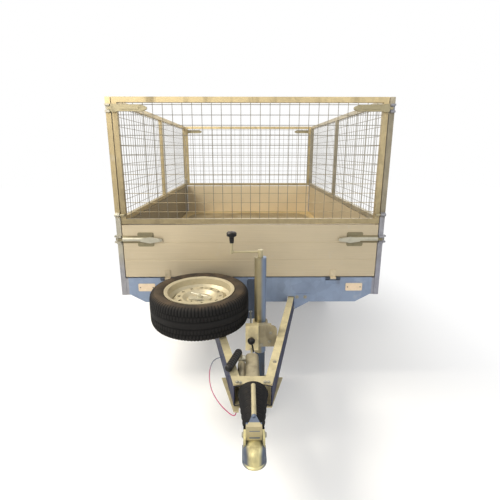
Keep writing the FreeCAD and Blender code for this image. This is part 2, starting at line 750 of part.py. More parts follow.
def pin_block(half):
    """A collar on the end post of the side panel that holds the hinge pin."""
    collar = length_of("collar", f"{HALF} - post_size", HALF, [
        ("0", "cage_hinge_z - 13"),
        ("0", "cage_hinge_z + 13"),
        ("-hinge_out", "cage_hinge_z + eye_r", "eye_r"),
        ("-hinge_out - eye_r", "cage_hinge_z", "eye_r"),
        ("-hinge_out", "cage_hinge_z - eye_r"),
    ])
    pin = rod("x", f"{half} - eye_wide", "-hinge_out", "cage_hinge_z", "pin_r",
              "eye_wide + cage_gap + post_size / 2")
    return fused(collar, pin)


def cage_catch(half):
    """The latch on the panel's upper corner: a box, a long pointed grip and the tongue."""
    start = f"({half} - cage_latch)"
    head = slab("catch_box", "-latch_proud + 4", "0",
                rounded(f"{half} - 34", f"{CAGE_LATCH} - cage_latch_high / 2 - 3", half,
                        f"{CAGE_LATCH} + cage_latch_high / 2 + 3", "6"))
    tongue = box(f"{half} - 20", "-5 - tongue_thick", f"{CAGE_LATCH} - tongue_high / 2",
                 "cage_gap + 36", "tongue_thick", "tongue_high")
    grip = slab("catch_grip", "4 - latch_proud", "0", [
        (f"{half} - 30", f"{CAGE_LATCH} - cage_latch_high / 2"),
        (f"{half} - 30", f"{CAGE_LATCH} + cage_latch_high / 2"),
        (f"{start} + 30", f"{CAGE_LATCH} + cage_latch_high / 2", "90"),
        (start, f"{CAGE_LATCH} + 5"),
        (start, f"{CAGE_LATCH} - 5", "90"),
        (f"{start} + 30", f"{CAGE_LATCH} - cage_latch_high / 2"),
    ])
    finger = slab("catch_finger", "-latch_proud", "0",
                  rounded(f"{start} + 40", f"{CAGE_LATCH} - 7", f"{half} - 50", f"{CAGE_LATCH} + 7", "6"))
    return fused(head, tongue, grip, finger)


def build_cage():
    """Side panels, end panels and the hinges and catches between them."""
    length = "(outer_length / 2)"
    for name, x, turn in (("cage_side_left", f"-{HALF}", -90), ("cage_side_right", HALF, 90)):
        node(name, side_panel(name, length), x=x, y=length, turn=turn)
    half = f"({HALF} - cage_tube - cage_gap)"
    brackets = []
    for name, y, turn in (("front_mesh", "0", 0), ("rear_mesh", REAR, 180)):
        node(name, end_panel(name, half), y=y, turn=turn)
        eye = hinge_eye(f"{half} - eye_wide", half)
        catch = cage_catch(half)
        node(name + "_fittings", group(eye, mirrored(eye), catch, mirrored(catch)), y=y, turn=turn)
        block = pin_block(half)
        hold = keeper(f"{HALF} - cage_tube + 1", CAGE_LATCH, "17")
        brackets.append(placed(group(block, mirrored(block), hold, mirrored(hold)), y=y, turn=turn))
    node("cage_brackets", group(*brackets))


# Wheels and axle.


def tyre_body(name):
    """A tyre with rounded shoulders and side walls in straight strokes, hollow to the rim."""
    body = doc.addObject("PartDesign::Body", name)
    half = "(tyre_width / 2)"
    outside = [("rim_r + 3", "rim_half - 2"), ("rim_r + 22", f"{half} - 1.5"), ("tyre_r - 30", half),
               ("tyre_r - 9", f"{half} - 10"), ("tyre_r", f"{half} - 32")]
    inside = [("tyre_r - tyre_wall", f"{half} - 34"), ("tyre_r - 48", f"{half} - 14"),
              ("rim_r - 13", "rim_half - 16")]
    right = inside + [("rim_r - 13", "rim_half - 5")] + outside
    left = [(radius, f"-({across})") for radius, across in reversed(right)]
    revolved(body, name + "_section", right + left)
    return body


def rim_body(name):
    """A steel rim: a well barrel and a pressed disc with bolt holes and vents."""
    body = doc.addObject("PartDesign::Body", name)
    outer = [("0", "-rim_half - 3"), ("0", "-rim_half + 1"), ("14", "-rim_half + 4.7"),
             ("17", "-rim_half + 28"), ("34", "-rim_half + 40"), ("34", "rim_half - 52"),
             ("17", "rim_half - 36"), ("14", "rim_half - 4.7"), ("0", "rim_half - 1"), ("0", "rim_half + 3")]
    inner = [("0", "rim_half + 3"), ("14", "rim_half - 2"), ("17", "rim_half - 35"),
             ("34", "rim_half - 51"), ("34", "-rim_half + 39"), ("17", "-rim_half + 27"),
             ("14", "-rim_half + 2"), ("0", "-rim_half - 3")]
    revolved(body, name + "_barrel", [(f"rim_r - {depth}", across) for depth, across in outer]
             + [(f"rim_r - {depth} - rim_steel", across) for depth, across in inner])
    ridge = "disc_out + 12"
    revolved(body, name + "_disc", [
        ("32", "disc_out - rim_steel"),
        ("bolt_circle + 21", "disc_out - rim_steel"),
        ("vent_circle - 16", ridge),
        ("vent_circle + 14", ridge),
        ("rim_r - 33 - rim_steel", "disc_out - 12"),
        ("rim_r - 33 - rim_steel", "disc_out - 6"),
        ("vent_circle + 16", f"{ridge} + rim_steel"),
        ("vent_circle - 18", f"{ridge} + rim_steel"),
        ("bolt_circle + 19", "disc_out"),
        ("32", "disc_out"),
    ])
    plane = next(f for f in body.Origin.OriginFeatures if f.Role == "XZ_Plane")
    axis = next(f for f in body.Origin.OriginFeatures if f.Role == "Y_Axis")
    for kind, radius, spot, count in (("bolts", "bolt_hole_r", "bolt_circle", 5),
                                      ("vents", "vent_r", "vent_circle", 12)):
        hole = body.newObject("PartDesign::SubtractiveCylinder", f"{name}_{kind}")
        hole.AttachmentSupport = [(plane, "")]
        hole.MapMode = "FlatFace"
        hole.setExpression("Radius", linked(radius))
        hole.setExpression("Height", linked("60"))
        hole.setExpression("AttachmentOffset.Base.x", linked(spot))
        hole.setExpression("AttachmentOffset.Base.z", linked("-disc_out - 30"))
        ring = body.newObject("PartDesign::PolarPattern", f"{name}_{kind}_ring")
        ring.Originals = [hole]
        ring.Axis = (axis, [""])
        ring.Angle = 360
        ring.Occurrences = count
        body.Tip = ring
    return body


def drum_body(name):
    """A brake drum with its hub and dust cap, bored for the stub axle."""
    drum = doc.addObject("PartDesign::Body", name)
    hub = "(bolt_circle + 17)"
    revolved(drum, name + "_section", [
        ("stub_r + loose", "-75"),
        ("drum_r - 12", "-75"),
        ("drum_r", "-63"),
        ("drum_r", "disc_out - 40"),
        (hub, "disc_out - 22"),
        (hub, "disc_out - rim_steel"),
        ("30", "disc_out - rim_steel"),
        ("30", "disc_out + 14"),
        ("25", "disc_out + 20"),
        ("0", "disc_out + 20"),
        ("0", "disc_out + 6"),
        ("stub_r + loose", "disc_out + 6"),
    ])
    return drum


def build_wheels():
    """Road wheels with drums, and the spare on the drawbar."""
    for side, sign, turn in (("left", "-", 90), ("right", "", -90)):
        at = {"x": f"{sign}wheel_x", "y": "axle_y", "z": "tyre_r", "turn": turn}
        node(f"tyre_{side}", tyre_body(f"tyre_{side}_body"), **at)
        node(f"rim_{side}", rim_body(f"rim_{side}_body"), **at)
        node(f"drum_{side}", drum_body(f"drum_{side}_body"), **at)
    lying = {"x": "spare_x", "y": "spare_y", "z": "spare_z",
             "turn": 90 + value("arm_rise"), "axis": AROUND_X}
    node("spare_tyre", tyre_body("spare_tyre_body"), **lying)
    node("spare_rim", rim_body("spare_rim_body"), **lying)
    under = f"(({arm_top('-spare_x - 80', 'spare_y')} - spare_z) * cos(arm_rise) + seat)"
    cross_bar = slab("carrier_bar", "0", f"-tyre_width / 2 - seat - {under}",
                     rounded("-220", "-25", "105", "25", "12"))
    carrier = fused(
        placed(cross_bar, y=under),
        rod("y", "0", under, "0", "8", f"disc_out + 30 - {under}"),
        slab("clamp_plate", "disc_out + seat", "disc_out + 8", rounded("-60", "-18", "60", "18", "14")),
        rod("y", "0", "disc_out + 8", "0", "14", "16"),
        strut(("-46", "disc_out + 25", "-20"), ("44", "disc_out + 21", "18"), "4"),
    )
    stay = slab("stay_plate", "-18", "-seat",
                rounded("-21", "arm_z - arm_height", "stay_wide - 21", "hinge_z - 7", "10"))
    stay = cut(stay, rod("y", "0", "-20", "shaft_z - 20", "rod_r + 6", "30"))
    node("spare_carrier", group(placed(carrier, **lying), stay))


def build_axle():
    """Beam with brackets, swing arms with stub axles, and the mudguards."""
    beam = box("-beam_half", "beam_y - beam_size / 2", "beam_z - beam_size / 2",
               "2 * beam_half", "beam_size", "beam_size")
    front = "(beam_y - 30)"
    top = f"({arm_top(arm_side(front) + ' - arm_width / cos(arm_turn)', front)} - arm_height / cos(arm_rise) - seat)"
    outer = f"({arm_side(front)} - 2)"
    bracket = length_of("axle_bracket", f"{outer} - 30", outer, [
        ("beam_y - 30", "beam_z + beam_size / 2 - 1"),
        ("beam_y + 30", "beam_z + beam_size / 2 - 1"),
        ("beam_y + 24", top),
        ("beam_y - 30", top),
    ])
    lug = box("-25", "beam_y - beam_size / 2", "beam_z + beam_size / 2 - 1", "50", "6",
              "shaft_z + 16 - beam_z - beam_size / 2")
    node("axle_beam", fused(beam, bracket, mirrored(bracket), lug))
    length = "sqrt((axle_y - beam_y) ^ 2 + (beam_z - tyre_r) ^ 2)"
    droop = math.degrees(math.atan2(value("beam_z - tyre_r"), value("axle_y - beam_y")))
    web = length_of("swing_web", "0", "swing_thick", [
        ("0", "-32"),
        (length, "-26", "28"),
        (length, "26"),
        ("0", "32", "35"),
    ])
    swing = fused(
        placed(web, x="beam_half", y="beam_y", z="beam_z", turn=-droop, axis=AROUND_X),
        rod("x", "beam_half", "axle_y", "tyre_r", "stub_r", "wheel_x + disc_out - beam_half"),
    )
    node("swing_arms", both(swing))
    inner = "sqrt(guard_r ^ 2 - guard_low ^ 2)"
    outer = "sqrt((guard_r + guard_thick) ^ 2 - guard_low ^ 2)"
    guard = length_of("guard_shell", "wheel_x - guard_wide / 2", "wheel_x + guard_wide / 2", [
        (f"-{inner}", "guard_low", "-guard_r"),
        (inner, "guard_low"),
        (outer, "guard_low", "guard_r + guard_thick"),
        (f"-{outer}", "guard_low"),
    ])
    parts = [guard]
    reach = "sqrt(guard_r ^ 2 - (axle_y - beam_y) ^ 2)"
    roof = f"({BEARER_BOTTOM} + 0.1 - tyre_r - seat)"
    for way in ("-1", "1"):
        at = f"{way} * (axle_y - beam_y)"
        parts.append(box("wheel_x - 30", f"{at} - 3", reach, "60", "6", f"{roof} - {reach}"))
        parts.append(box("wheel_x - 30", f"{at} - 20", f"{roof} - 4", "60", "40", "4"))
    node("mudguards", both(fused(*parts)), y="axle_y", z="tyre_r")


# Drawbar, overrun coupling and jockey stand.


def drawbar_arm():
    """A folded channel open to the middle, laid at its slope and angle."""
    arm = slab("arm_channel", "0", "arm_length", [
        ("0", "0"),
        ("0", "-arm_height"),
        ("-arm_width", "-arm_height"),
        ("-arm_width", "arm_wall - arm_height"),
        ("-arm_wall", "arm_wall - arm_height"),
        ("-arm_wall", "-arm_wall"),
        ("-arm_width", "-arm_wall"),
        ("-arm_width", "0"),
    ])
    slope = Rotation(AROUND_X, value("arm_rise"))
    plan = Rotation(Vector(0, 0, 1), -value("arm_turn"))
    arm.Placement = Placement(Vector(), plan.multiply(slope))
    return bind(arm, x="arm_x", y="arm_y", z="arm_z")


def build_drawbar_plates():
    """The tie on the front ends of the arms, the sole under them and the gussets at the bed."""
    tie = sheet_of("tie_plate", "0", "tie_thick", [
        ("-arm_x", "4"),
        ("arm_x", "4"),
        ("arm_x + tie_deep * tan(arm_turn)", "4 + tie_deep"),
        ("-arm_x - tie_deep * tan(arm_turn)", "4 + tie_deep"),
    ])
    sole = sheet_of("sole_plate", "-tie_thick", "0", [
        ("-arm_x", "-clip_reach"),
        ("20 - arm_x", "-clip_reach"),
        ("20 - arm_x", "0"),
        ("arm_x", "0"),
        ("arm_x + sole_back * tan(arm_turn) + sole_proud", "sole_back"),
        ("-arm_x - sole_back * tan(arm_turn) - sole_proud", "sole_back"),
    ])
    gusset = slab("gusset_plate", "-5", "0", [
        (f"{ARM_AT_BED} + 1", "cross_bottom + 53"),
        (f"{ARM_AT_BED} + 1", "cross_bottom - 49"),
        (f"{ARM_AT_BED} + 87", "cross_bottom"),
        (f"{ARM_AT_BED} + 97", "cross_bottom + 53"),
    ])
    rise = value("arm_rise")
    flat = {"y": "arm_y", "turn": rise, "axis": AROUND_X}
    tie = placed(tie, z="arm_z + seat", **flat)
    sole = placed(sole, z="arm_z - arm_height / cos(arm_rise) - 2 * seat", **flat)
    node("drawbar_plate", group(tie, sole))
    node("drawbar_gussets", both(gusset))


def coupling_head():
    """A stamped ball head: a rounded nose carried straight back as an arch, with a rim below."""
    nose = [
        ("head_r + 3.5", "-21"),
        ("head_r + 3.5", "-16"),
        ("head_r", "-12"),
        ("head_r", "14", "28"),
        ("head_r - 20", "40"),
    ]
    dome = doc.addObject("PartDesign::Body", "dome")
    revolved(dome, "dome_section", nose + [
        ("0", "43"),
        ("0", "ball_r + loose", "-ball_r - loose"),
        ("ball_r + loose", "0"),
        ("ball_r + loose", "-21"),
    ])
    placed(dome, y="ball_y", z="ball_z", turn=90, axis=AROUND_X)
    side = [(across, f"ball_z + ({up})") for across, up, *_ in nose]
    left = [(f"-({across})", up) for across, up in reversed(side)]
    side[3] += ("28",)
    left[0] += ("28",)
    arch = slab("arch", "ball_y", "ball_y + head_back", side + [("0", "ball_z + 43")] + left)
    hollow = slab("arch_hollow", "ball_y", "ball_y + head_back + 1", [
        ("-ball_r - loose", "ball_z - 22"),
        ("ball_r + loose", "ball_z - 22"),
        ("ball_r + loose", "ball_z - 4"),
        ("-ball_r - loose", "ball_z - 4"),
    ])
    neck = slab("neck", "ball_y + head_back - 10", "housing_front - boot_length - 2", [
        ("-shaft_r - 6", "ball_z - 2"),
        ("shaft_r + 6", "ball_z - 2"),
        ("shaft_r + 6", "shaft_z + 12", "20"),
        ("shaft_r - 12", "shaft_z + shaft_r + 6"),
        ("12 - shaft_r", "shaft_z + shaft_r + 6", "20"),
        ("-shaft_r - 6", "shaft_z + 12"),
    ])
    bore = rod("y", "0", "ball_y + 45", "shaft_z", "shaft_r + loose", "120")
    lug = box("head_r - 9", "ball_y + 8", "ball_z + 10", "8", "head_back - 16", "46")
    shape = fused(dome, arch, neck, lug, mirrored(lug))
    return cut(shape, bore, hollow, ball("0", "ball_y", "ball_z", "ball_r + loose"))


def boot_body():
    """A tapered rubber boot with folds round the overrun shaft."""
    boot = doc.addObject("PartDesign::Body", "boot")
    folds = 6
    section = [("shaft_r + loose", "0")]
    for i in range(folds + 1):
        along = f"boot_length * {i} / {folds}"
        crest = f"boot_front_r + (boot_back_r - boot_front_r) * {i} / {folds}"
        section.append((crest, along))
        if i < folds:
            section.append((f"{crest} - boot_fold", f"{along} + boot_length / {2 * folds}"))
    section.append(("shaft_r + loose", "boot_length"))
    revolved(boot, "boot_section", section)
    return boot


def build_drawbar():
    """Arms, plates, overrun housing, coupling, handbrake and brake rod."""
    node("drawbar_arms", both(drawbar_arm()))
    build_drawbar_plates()
    low = "(arm_z - arm_height)"
    housing = slab("housing", "housing_front", "housing_back", [
        ("-housing_half", f"{low} + 12"),
        ("housing_half", f"{low} + 12"),
        ("housing_half", "shaft_z + 12", "20"),
        ("housing_half - 20", "shaft_z + 31.5"),
        ("20 - housing_half", "shaft_z + 31.5", "20"),
        ("-housing_half", "shaft_z + 12"),
    ])
    ground = "(arm_z - arm_height / cos(arm_rise) - seat + (housing_front + 22 - arm_y) * tan(arm_rise))"
    foot = box("-housing_half", "housing_front + 10", ground, "2 * housing_half", "12", "20")
    bore = rod("y", "0", "housing_front - 1", "shaft_z", "shaft_r + loose", "housing_back - housing_front + 2")
    node("overrun_housing", cut(fused(housing, foot), bore))
    node("overrun_shaft", rod("y", "0", "ball_y + 45 + seat", "shaft_z", "shaft_r", "housing_back - ball_y - 60"))
    node("overrun_gaiter", boot_body(), y="housing_front - boot_length - seat", z="shaft_z")
    node("coupling_head", coupling_head())
    handle = fused(
        strut(("0", "ball_y + 60", "shaft_z + 57"), ("0", "ball_y + 60 + handle_length", "shaft_z + 57 + handle_rise"),
              "8.5"),
        sheet_of("handle_fork", "shaft_z + 50", "shaft_z + 62", [
            ("-26", "ball_y + 14"),
            ("26", "ball_y + 14"),
            ("9", "ball_y + 64"),
            ("-9", "ball_y + 64"),
        ]),
        box("9 - head_r", "ball_y + 18", "ball_z + 43 + seat", "2 * (head_r - 9) - 2", "26",
            "shaft_z + 54 - ball_z - 43 - seat"),
    )
    handle = placed(handle, x="1")
    node("coupling_handle", handle)
    grip_start = ("-56", "housing_back - 48", "shaft_z + 70")
    grip_end = ("-98", "housing_back - 165", "shaft_z + 60")
    pivot = ("-50", "housing_back - 12", "shaft_z + 10")
    stem = fused(
        rod("x", "-62", *pivot[1:], "15", "62 - housing_half - seat"),
        strut(pivot, grip_start, "9"),
        ball(*grip_start, "9"),
    )
    node("handbrake_lever", stem)
    grip = fused(strut(grip_start, grip_end, "grip_r"), ball(*grip_end, "grip_r"))
    node("handbrake_grip", cut(grip, ball(*grip_start, "9 + seat"), strut(pivot, grip_start, "9 + seat")))
    across = "-housing_half - strut_r - seat"
    spring = fused(
        rod("y", across, "housing_front + 56", "shaft_z + 7", "strut_r", "150"),
        rod("y", across, "housing_front + 30", "shaft_z + 7", "6", "200"),
    )
    node("handbrake_spring", spring)
    node("brake_rod", rod("y", "0", "housing_back + seat", "shaft_z - 20", "rod_r",
                          "beam_y - beam_size / 2 - housing_back - 2 * seat"))


def build_jockey():
    """Outer tube in its clamp, crank, inner tube, fork and roller."""
    outer = cut(
        rod("z", "jockey_x", "jockey_y", "jockey_low", "jockey_r", "jockey_top - jockey_low"),
        rod("z", "jockey_x", "jockey_y", "jockey_low - 1", "jockey_r - jockey_wall",
            "jockey_top - jockey_low + 1 - jockey_wall"),
    )
    node("jockey_outer_tube", outer)
    right = f"({arm_side('carrier_y')} - arm_width / cos(arm_turn) - seat)"
    corner = 28
    carrier = slab("carrier_plate_body", "carrier_y", "carrier_y + carrier_plate", [
        ("carrier_left", "carrier_low - 16"),
        ("carrier_left + 64", "carrier_low - 16"),
        ("carrier_left + 64", "carrier_low"),
        (right, "carrier_low"),
        (right, f"carrier_top - {corner}", str(corner)),
        (f"{right} - {corner}", "carrier_top"),
        ("carrier_left", "carrier_top"),
    ])
    boss = slab("carrier_boss", "carrier_y - boss_proud", "carrier_y", [
        ("carrier_left", "carrier_low - 16"),
        ("carrier_left + 64", "carrier_low - 16"),
        ("carrier_left + 64", "carrier_top"),
        ("carrier_left", "carrier_top"),
    ])
    shelf = box("carrier_left", "carrier_y", "carrier_top - carrier_plate", f"{right} - {corner} - carrier_left",
                "26", "carrier_plate")
    clamp = sheet_of("clamp_body", "carrier_low + 18", "carrier_top - 6", [
        ("jockey_x - clamp_half", "carrier_y"),
        ("jockey_x + clamp_half", "carrier_y"),
        ("jockey_x + clamp_half", "jockey_y", "clamp_half"),
        ("jockey_x", "jockey_y + clamp_half", "clamp_half"),
        ("jockey_x - clamp_half", "jockey_y"),
    ])
    hole = rod("z", "jockey_x", "jockey_y", "carrier_low", "jockey_r + 0.1", "carrier_top - carrier_low")
    notch = rod("y", "0", "carrier_y - boss_proud - 1", "shaft_z - 20", "rod_r + 3", "60")
    node("jockey_bracket", cut(fused(carrier, boss, shelf, clamp), hole, notch))
    knob_at = ("-2", "carrier_y - boss_proud - 28", "shaft_z + 40")
    clamp_lever = fused(
        rod("y", *knob_at, "6", "28 - seat"),
        placed(ball("0", "0", "0", "clamp_knob_r"), *knob_at, turn=-90, axis=AROUND_Y),
        strut(knob_at, ("10", "carrier_y - boss_proud - 34", "carrier_low - 6"), "4"),
    )
    node("jockey_clamp_lever", clamp_lever)
    tip = "(jockey_x - crank_reach)"
    crank = fused(
        rod("z", "jockey_x", "jockey_y", "jockey_top + seat", "13", "36"),
        rod("x", tip, "jockey_y", "jockey_top + 26", "crank_r", "crank_reach"),
        rod("z", tip, "jockey_y", "jockey_top + 26 - crank_r - 3", "crank_r + 1", "53"),
    )
    node("jockey_crank", crank)
    knob = doc.addObject("PartDesign::Body", "knob")
    revolved(knob, "knob_section", [
        ("0", "0"),
        ("10", "0"),
        ("knob_r - 12", "30"),
        ("knob_r", "35"),
        ("knob_r", "49"),
        ("knob_r - 6", "55"),
        ("0", "58"),
    ])
    node("crank_knob", knob, x=tip, y="jockey_y", z="jockey_top + 70 + seat", turn=90, axis=AROUND_X)
    node("jockey_inner_tube", rod("z", "jockey_x", "jockey_y", "inner_low",
                                  "jockey_r - jockey_wall - loose", "inner_top - inner_low"))
    wide = "(roller_w / 2 + fork_gap)"
    outside = f"(2 * {wide} + 2 * fork_sheet)"
    cheeks = [length_of("fork_cheek", start, f"{start} + fork_sheet", [
        ("jockey_y - 22", "inner_low - loose"),
        ("jockey_y - 22", "inner_low - 30"),
        ("jockey_y + roller_trail - 14", "roller_r", "16"),
        ("jockey_y + roller_trail + 14", "roller_r"),
        ("jockey_y + roller_trail + 14", "roller_r + 26"),
        ("jockey_y + 24", "inner_low - loose"),
    ]) for start in (f"jockey_x + {wide}", f"jockey_x - {wide} - fork_sheet")]
    bridge = box(f"jockey_x - {wide} - fork_sheet", "jockey_y - 22", "inner_low - loose - 6", outside, "46", "6")
    pin = rod("x", f"jockey_x - {wide} - fork_sheet", "jockey_y + roller_trail", "roller_r", "6", outside)
    node("jockey_fork", fused(*cheeks, bridge, pin))
    roller = doc.addObject("PartDesign::Body", "roller_body")
    revolved(roller, "roller_section", [
        ("6 + loose", "-roller_w / 2 + 2"),
        ("18", "-roller_w / 2 + 2"),
        ("20", "-8"),
        ("roller_r - 30", "-8"),
        ("roller_r - 24", "-roller_w / 2 + 3"),
        ("roller_r - 6", "-roller_w / 2", "8"),
        ("roller_r", "-roller_w / 2 + 8"),
        ("roller_r", "roller_w / 2 - 8", "8"),
        ("roller_r - 6", "roller_w / 2"),
        ("roller_r - 24", "roller_w / 2 - 3"),
        ("roller_r - 30", "8"),
        ("20", "8"),
        ("18", "roller_w / 2 - 2"),
        ("6 + loose", "roller_w / 2 - 2"),
    ])
    node("jockey_wheel", roller, x="jockey_x", y="jockey_y + roller_trail", z="roller_r", turn=-90)


def build_lights():
    """Rear lamps, the blank plate and the front reflectors."""
    right = f"({CROSS} - 8)"
    left = f"({right} - lamp_wide)"
    low, top = "(lamp_z - lamp_high / 2)", "(lamp_z + lamp_high / 2)"
    back = f"{REAR} + seat"
    node("rear_lamp_cases", both(slab("lamp_case", back, f"{back} + 6", rounded(left, low, right, top, "10"))))
    lens = slab("lamp_lens", f"{back} + 6", f"{REAR} + lamp_deep",
                rounded(f"{left} + 4", f"{low} + 4", f"{right} - 4", f"{top} - 4", "8"))
    node("rear_lamps", both(lens))
    node("number_plate", slab("plate", back, f"{back} + 2", rounded(
        "-plate_wide / 2", "lamp_z - plate_high / 2", "plate_wide / 2", "lamp_z + plate_high / 2", "8")))
    middle = f"({HALF} - reflector_inset)"
    reflector = slab("reflector", "-4 - seat", "-seat", rounded(
        f"{middle} - reflector_wide / 2", "reflector_z - reflector_high / 2",
        f"{middle} + reflector_wide / 2", "reflector_z + reflector_high / 2", "6"))
    node("front_reflectors", both(reflector))


# The breakaway cable hangs from the left arm to an eye near the arm's front end.


def cable_points():
    """Corner points of the cable's route, from the arm's outer face to the tab of the bottom plate."""
    lean, rise = math.radians(size("arm_turn")), math.tan(math.radians(size("arm_rise")))
    face = -value(arm_side("-535")) - 0.1
    under = value("arm_z - arm_height / cos(arm_rise) - 2 * seat - tie_thick / cos(arm_rise)")
    end = -size("arm_x") + 10
    return [
        (face, -535, 440),
        (face - 27 * math.cos(lean), -535 - 27 * math.sin(lean), 440),
        (-193, -575, 425),
        (-197, -620, 395),
        (-185, -672, 368),
        (-161, -722, 354),
        (-132, -768, 348),
        (-104, -806, 348),
        (-82, -838, 354),
        (end - 0.5, -854, 372),
        (end, -856, under - 16 * rise - 0.1),
    ]


def cord(label, points, radius):
    """A round cord of straight runs joined by tangent arcs."""
    spots = [Vector(*point) for point in points]
    edges = []
    start = spots[0]
    for before, corner, after in zip(spots, spots[1:], spots[2:]):
        back, on = before - corner, after - corner
        turn = math.pi - back.getAngle(on)
        cut_back = 0.45 * min(back.Length, on.Length)
        bend = cut_back / math.tan(turn / 2)
        print(label, "bend radius", round(bend, 1))
        first = corner + back.normalize() * cut_back
        last = corner + on.normalize() * cut_back
        toward = ((first + last) * 0.5 - corner).normalize()
        middle = corner + toward * (bend / math.cos(turn / 2) - bend)
        edges.append(Part.LineSegment(start, first).toShape())
        edges.append(Part.Arc(first, middle, last).toShape())
        start = last
    edges.append(Part.LineSegment(start, spots[-1]).toShape())
    path = Part.Wire(edges)
    ring = Part.Wire(Part.Circle(spots[0], spots[1] - spots[0], radius).toShape())
    whole = path.makePipeShell([ring], True, False)
    expected = math.pi * radius ** 2 * path.Length
    if abs(whole.Volume - expected) > 0.02 * expected:
        raise RuntimeError(f"{label}: volume {whole.Volume} for {expected}")
    print(label, "length", round(path.Length, 1))
    body = doc.addObject("Part::Feature", label)
    body.Shape = whole
    return node(label, body)


def build_cable():
    """The cable that pulls the brake on if the trailer comes loose."""
    cord("breakaway_cable", cable_points(), size("cable_r"))


build_bed()
build_boards()
build_cage()
build_wheels()
build_axle()
build_drawbar()
build_jockey()
build_lights()
build_cable()

doc.recompute()
faults = [o.Label for o in doc.Objects if {"Invalid", "Error"} & set(o.State)]
if faults:
    raise RuntimeError("not built: " + ", ".join(faults))
for label, shape in NODES.items():
    if shape.Shape.isNull() or not shape.Shape.isValid():
        raise RuntimeError(f"{label}: bad shape")
for label, shape in NODES.items():
    shape.Shape.exportStep(f"parts/{label}.step")
print(len(NODES), "nodes")
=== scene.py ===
"""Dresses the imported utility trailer: worn metal, plywood, rubber, treads, bolts and the cable."""

import json
import math

import bpy
import numpy as np
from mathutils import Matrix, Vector

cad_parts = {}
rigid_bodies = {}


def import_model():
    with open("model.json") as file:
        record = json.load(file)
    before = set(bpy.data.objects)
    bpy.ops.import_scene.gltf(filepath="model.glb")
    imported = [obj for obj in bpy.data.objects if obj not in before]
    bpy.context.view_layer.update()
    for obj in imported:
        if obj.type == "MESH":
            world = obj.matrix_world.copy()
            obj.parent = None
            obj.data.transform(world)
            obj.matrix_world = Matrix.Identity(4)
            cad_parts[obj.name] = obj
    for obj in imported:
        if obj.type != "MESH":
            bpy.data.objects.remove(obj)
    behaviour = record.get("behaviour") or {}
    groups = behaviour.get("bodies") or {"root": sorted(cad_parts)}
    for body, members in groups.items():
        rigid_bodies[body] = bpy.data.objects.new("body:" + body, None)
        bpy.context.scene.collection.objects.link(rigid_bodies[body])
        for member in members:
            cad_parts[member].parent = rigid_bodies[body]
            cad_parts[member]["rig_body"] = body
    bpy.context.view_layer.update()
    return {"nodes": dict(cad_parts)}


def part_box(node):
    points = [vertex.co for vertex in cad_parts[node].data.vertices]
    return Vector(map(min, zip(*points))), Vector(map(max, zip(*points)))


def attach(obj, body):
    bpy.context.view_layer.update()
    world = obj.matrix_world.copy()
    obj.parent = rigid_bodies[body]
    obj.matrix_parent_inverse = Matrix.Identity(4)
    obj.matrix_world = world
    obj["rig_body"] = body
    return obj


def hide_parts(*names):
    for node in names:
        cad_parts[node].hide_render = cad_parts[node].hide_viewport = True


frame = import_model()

bl_info = {
    "name": "Utility trailer dressing",
    "version": (1, 0, 0),
    "blender": (4, 5, 0),
    "location": "3D View > Sidebar > Trailer",
    "description": "Builds the finishes, treads, fasteners, cable and stage of a utility trailer",
    "category": "Object",
}

MIDDLE = 0.701
"""Distance from the front board to the middle of the trailer, in metres."""

BED_MIDDLE = 0.568
"""Distance from the middle of the trailer back to the middle of its bed, in metres."""

OPENING = (1.0135, 1.6415)
"""Heights between the level tubes of a cage panel, in metres."""

TOP_RAIL = (1.58, 1.66)
# Heights over which the cage brightens towards its top rail, in metres: painted light on the sunlit
# rail and painted shade below it.
"""Heights over which the cage brightens towards its top rail, in metres."""

END_WIRES = (-1.0, 0.7137)
"""Distances from the middle between which an end panel has wires, in metres: all the way across."""

SIDE_WIRES = (0.0145, 1.24)
"""The same for a side panel, along the bed and outside its middle post."""

WIRE_CHANGE = 1.28
# Height under which the front panel's level wires keep the colour of its frame, in metres: painted
# light on their up- and down-facing faces against the darker upright faces.
"""Height under which the front panel's level wires keep the colour of its frame, in metres."""

FRAME_CHANGE = 1.2
"""Height under which the front panel's frame is darker, in metres."""

HINGE_TOP = 0.640
# Height above which the board hinges are dark, in metres: painted shadow under the board's lower
# edge.
"""Height above which the board hinges are dark, in metres."""

STRAP_TOP = 0.74
"""Height under which a board's fittings have the board's colour, in metres."""

SPARE_LEAN = math.radians(2.4)
"""Lean of the spare wheel and of the drawbar's top towards the nose."""

TREAD_TURNS, TREAD_STEPS = 672, 74
"""Points of a tread round its axis and along its section."""

GROOVES = (-0.046, -0.018, 0.018, 0.046)
"""Distances of the long grooves from a tread's middle, in metres."""

GROOVE_HALF = 0.0026
"""Half the width of a long groove, in metres."""

RIBS = (0.022, 0.043)
"""Distances from a tread's middle between which its ribs have staggered cuts, in metres."""

GRIP_ENDS = ((-56, -638, 532), (-98, -755, 522))
"""Both ends of the handbrake's grip in millimetres: to the right, behind the front board, up."""

GUSSET_BOLTS = ((282, 534), (331, 534), (257, 466))
"""Bolts on each gusset in millimetres: to the side and up."""

TIE_BOLTS = ((-62.8, -826), (-50.8, -829), (48.6, -827), (62.5, -827))
"""Bolts on the tie plate in millimetres: to the right and behind the front board."""

CARRIER_BOLTS = ((93, 526), (89, 480), (50, 463))
"""Bolts on the jockey carrier in millimetres: to the right and up."""

CABLE_ROUTE = ((-144.8, -535, 440), (-171.1, -540.9, 440), (-193, -575, 425), (-197, -620, 395),
               (-185, -672, 368), (-161, -722, 354), (-132, -768, 348), (-104, -806, 348),
               (-82, -838, 354), (-67, -854, 372), (-66.5, -856, 391.7))
"""Points of the breakaway cable, given like the grip's ends, from the left arm to the tab."""

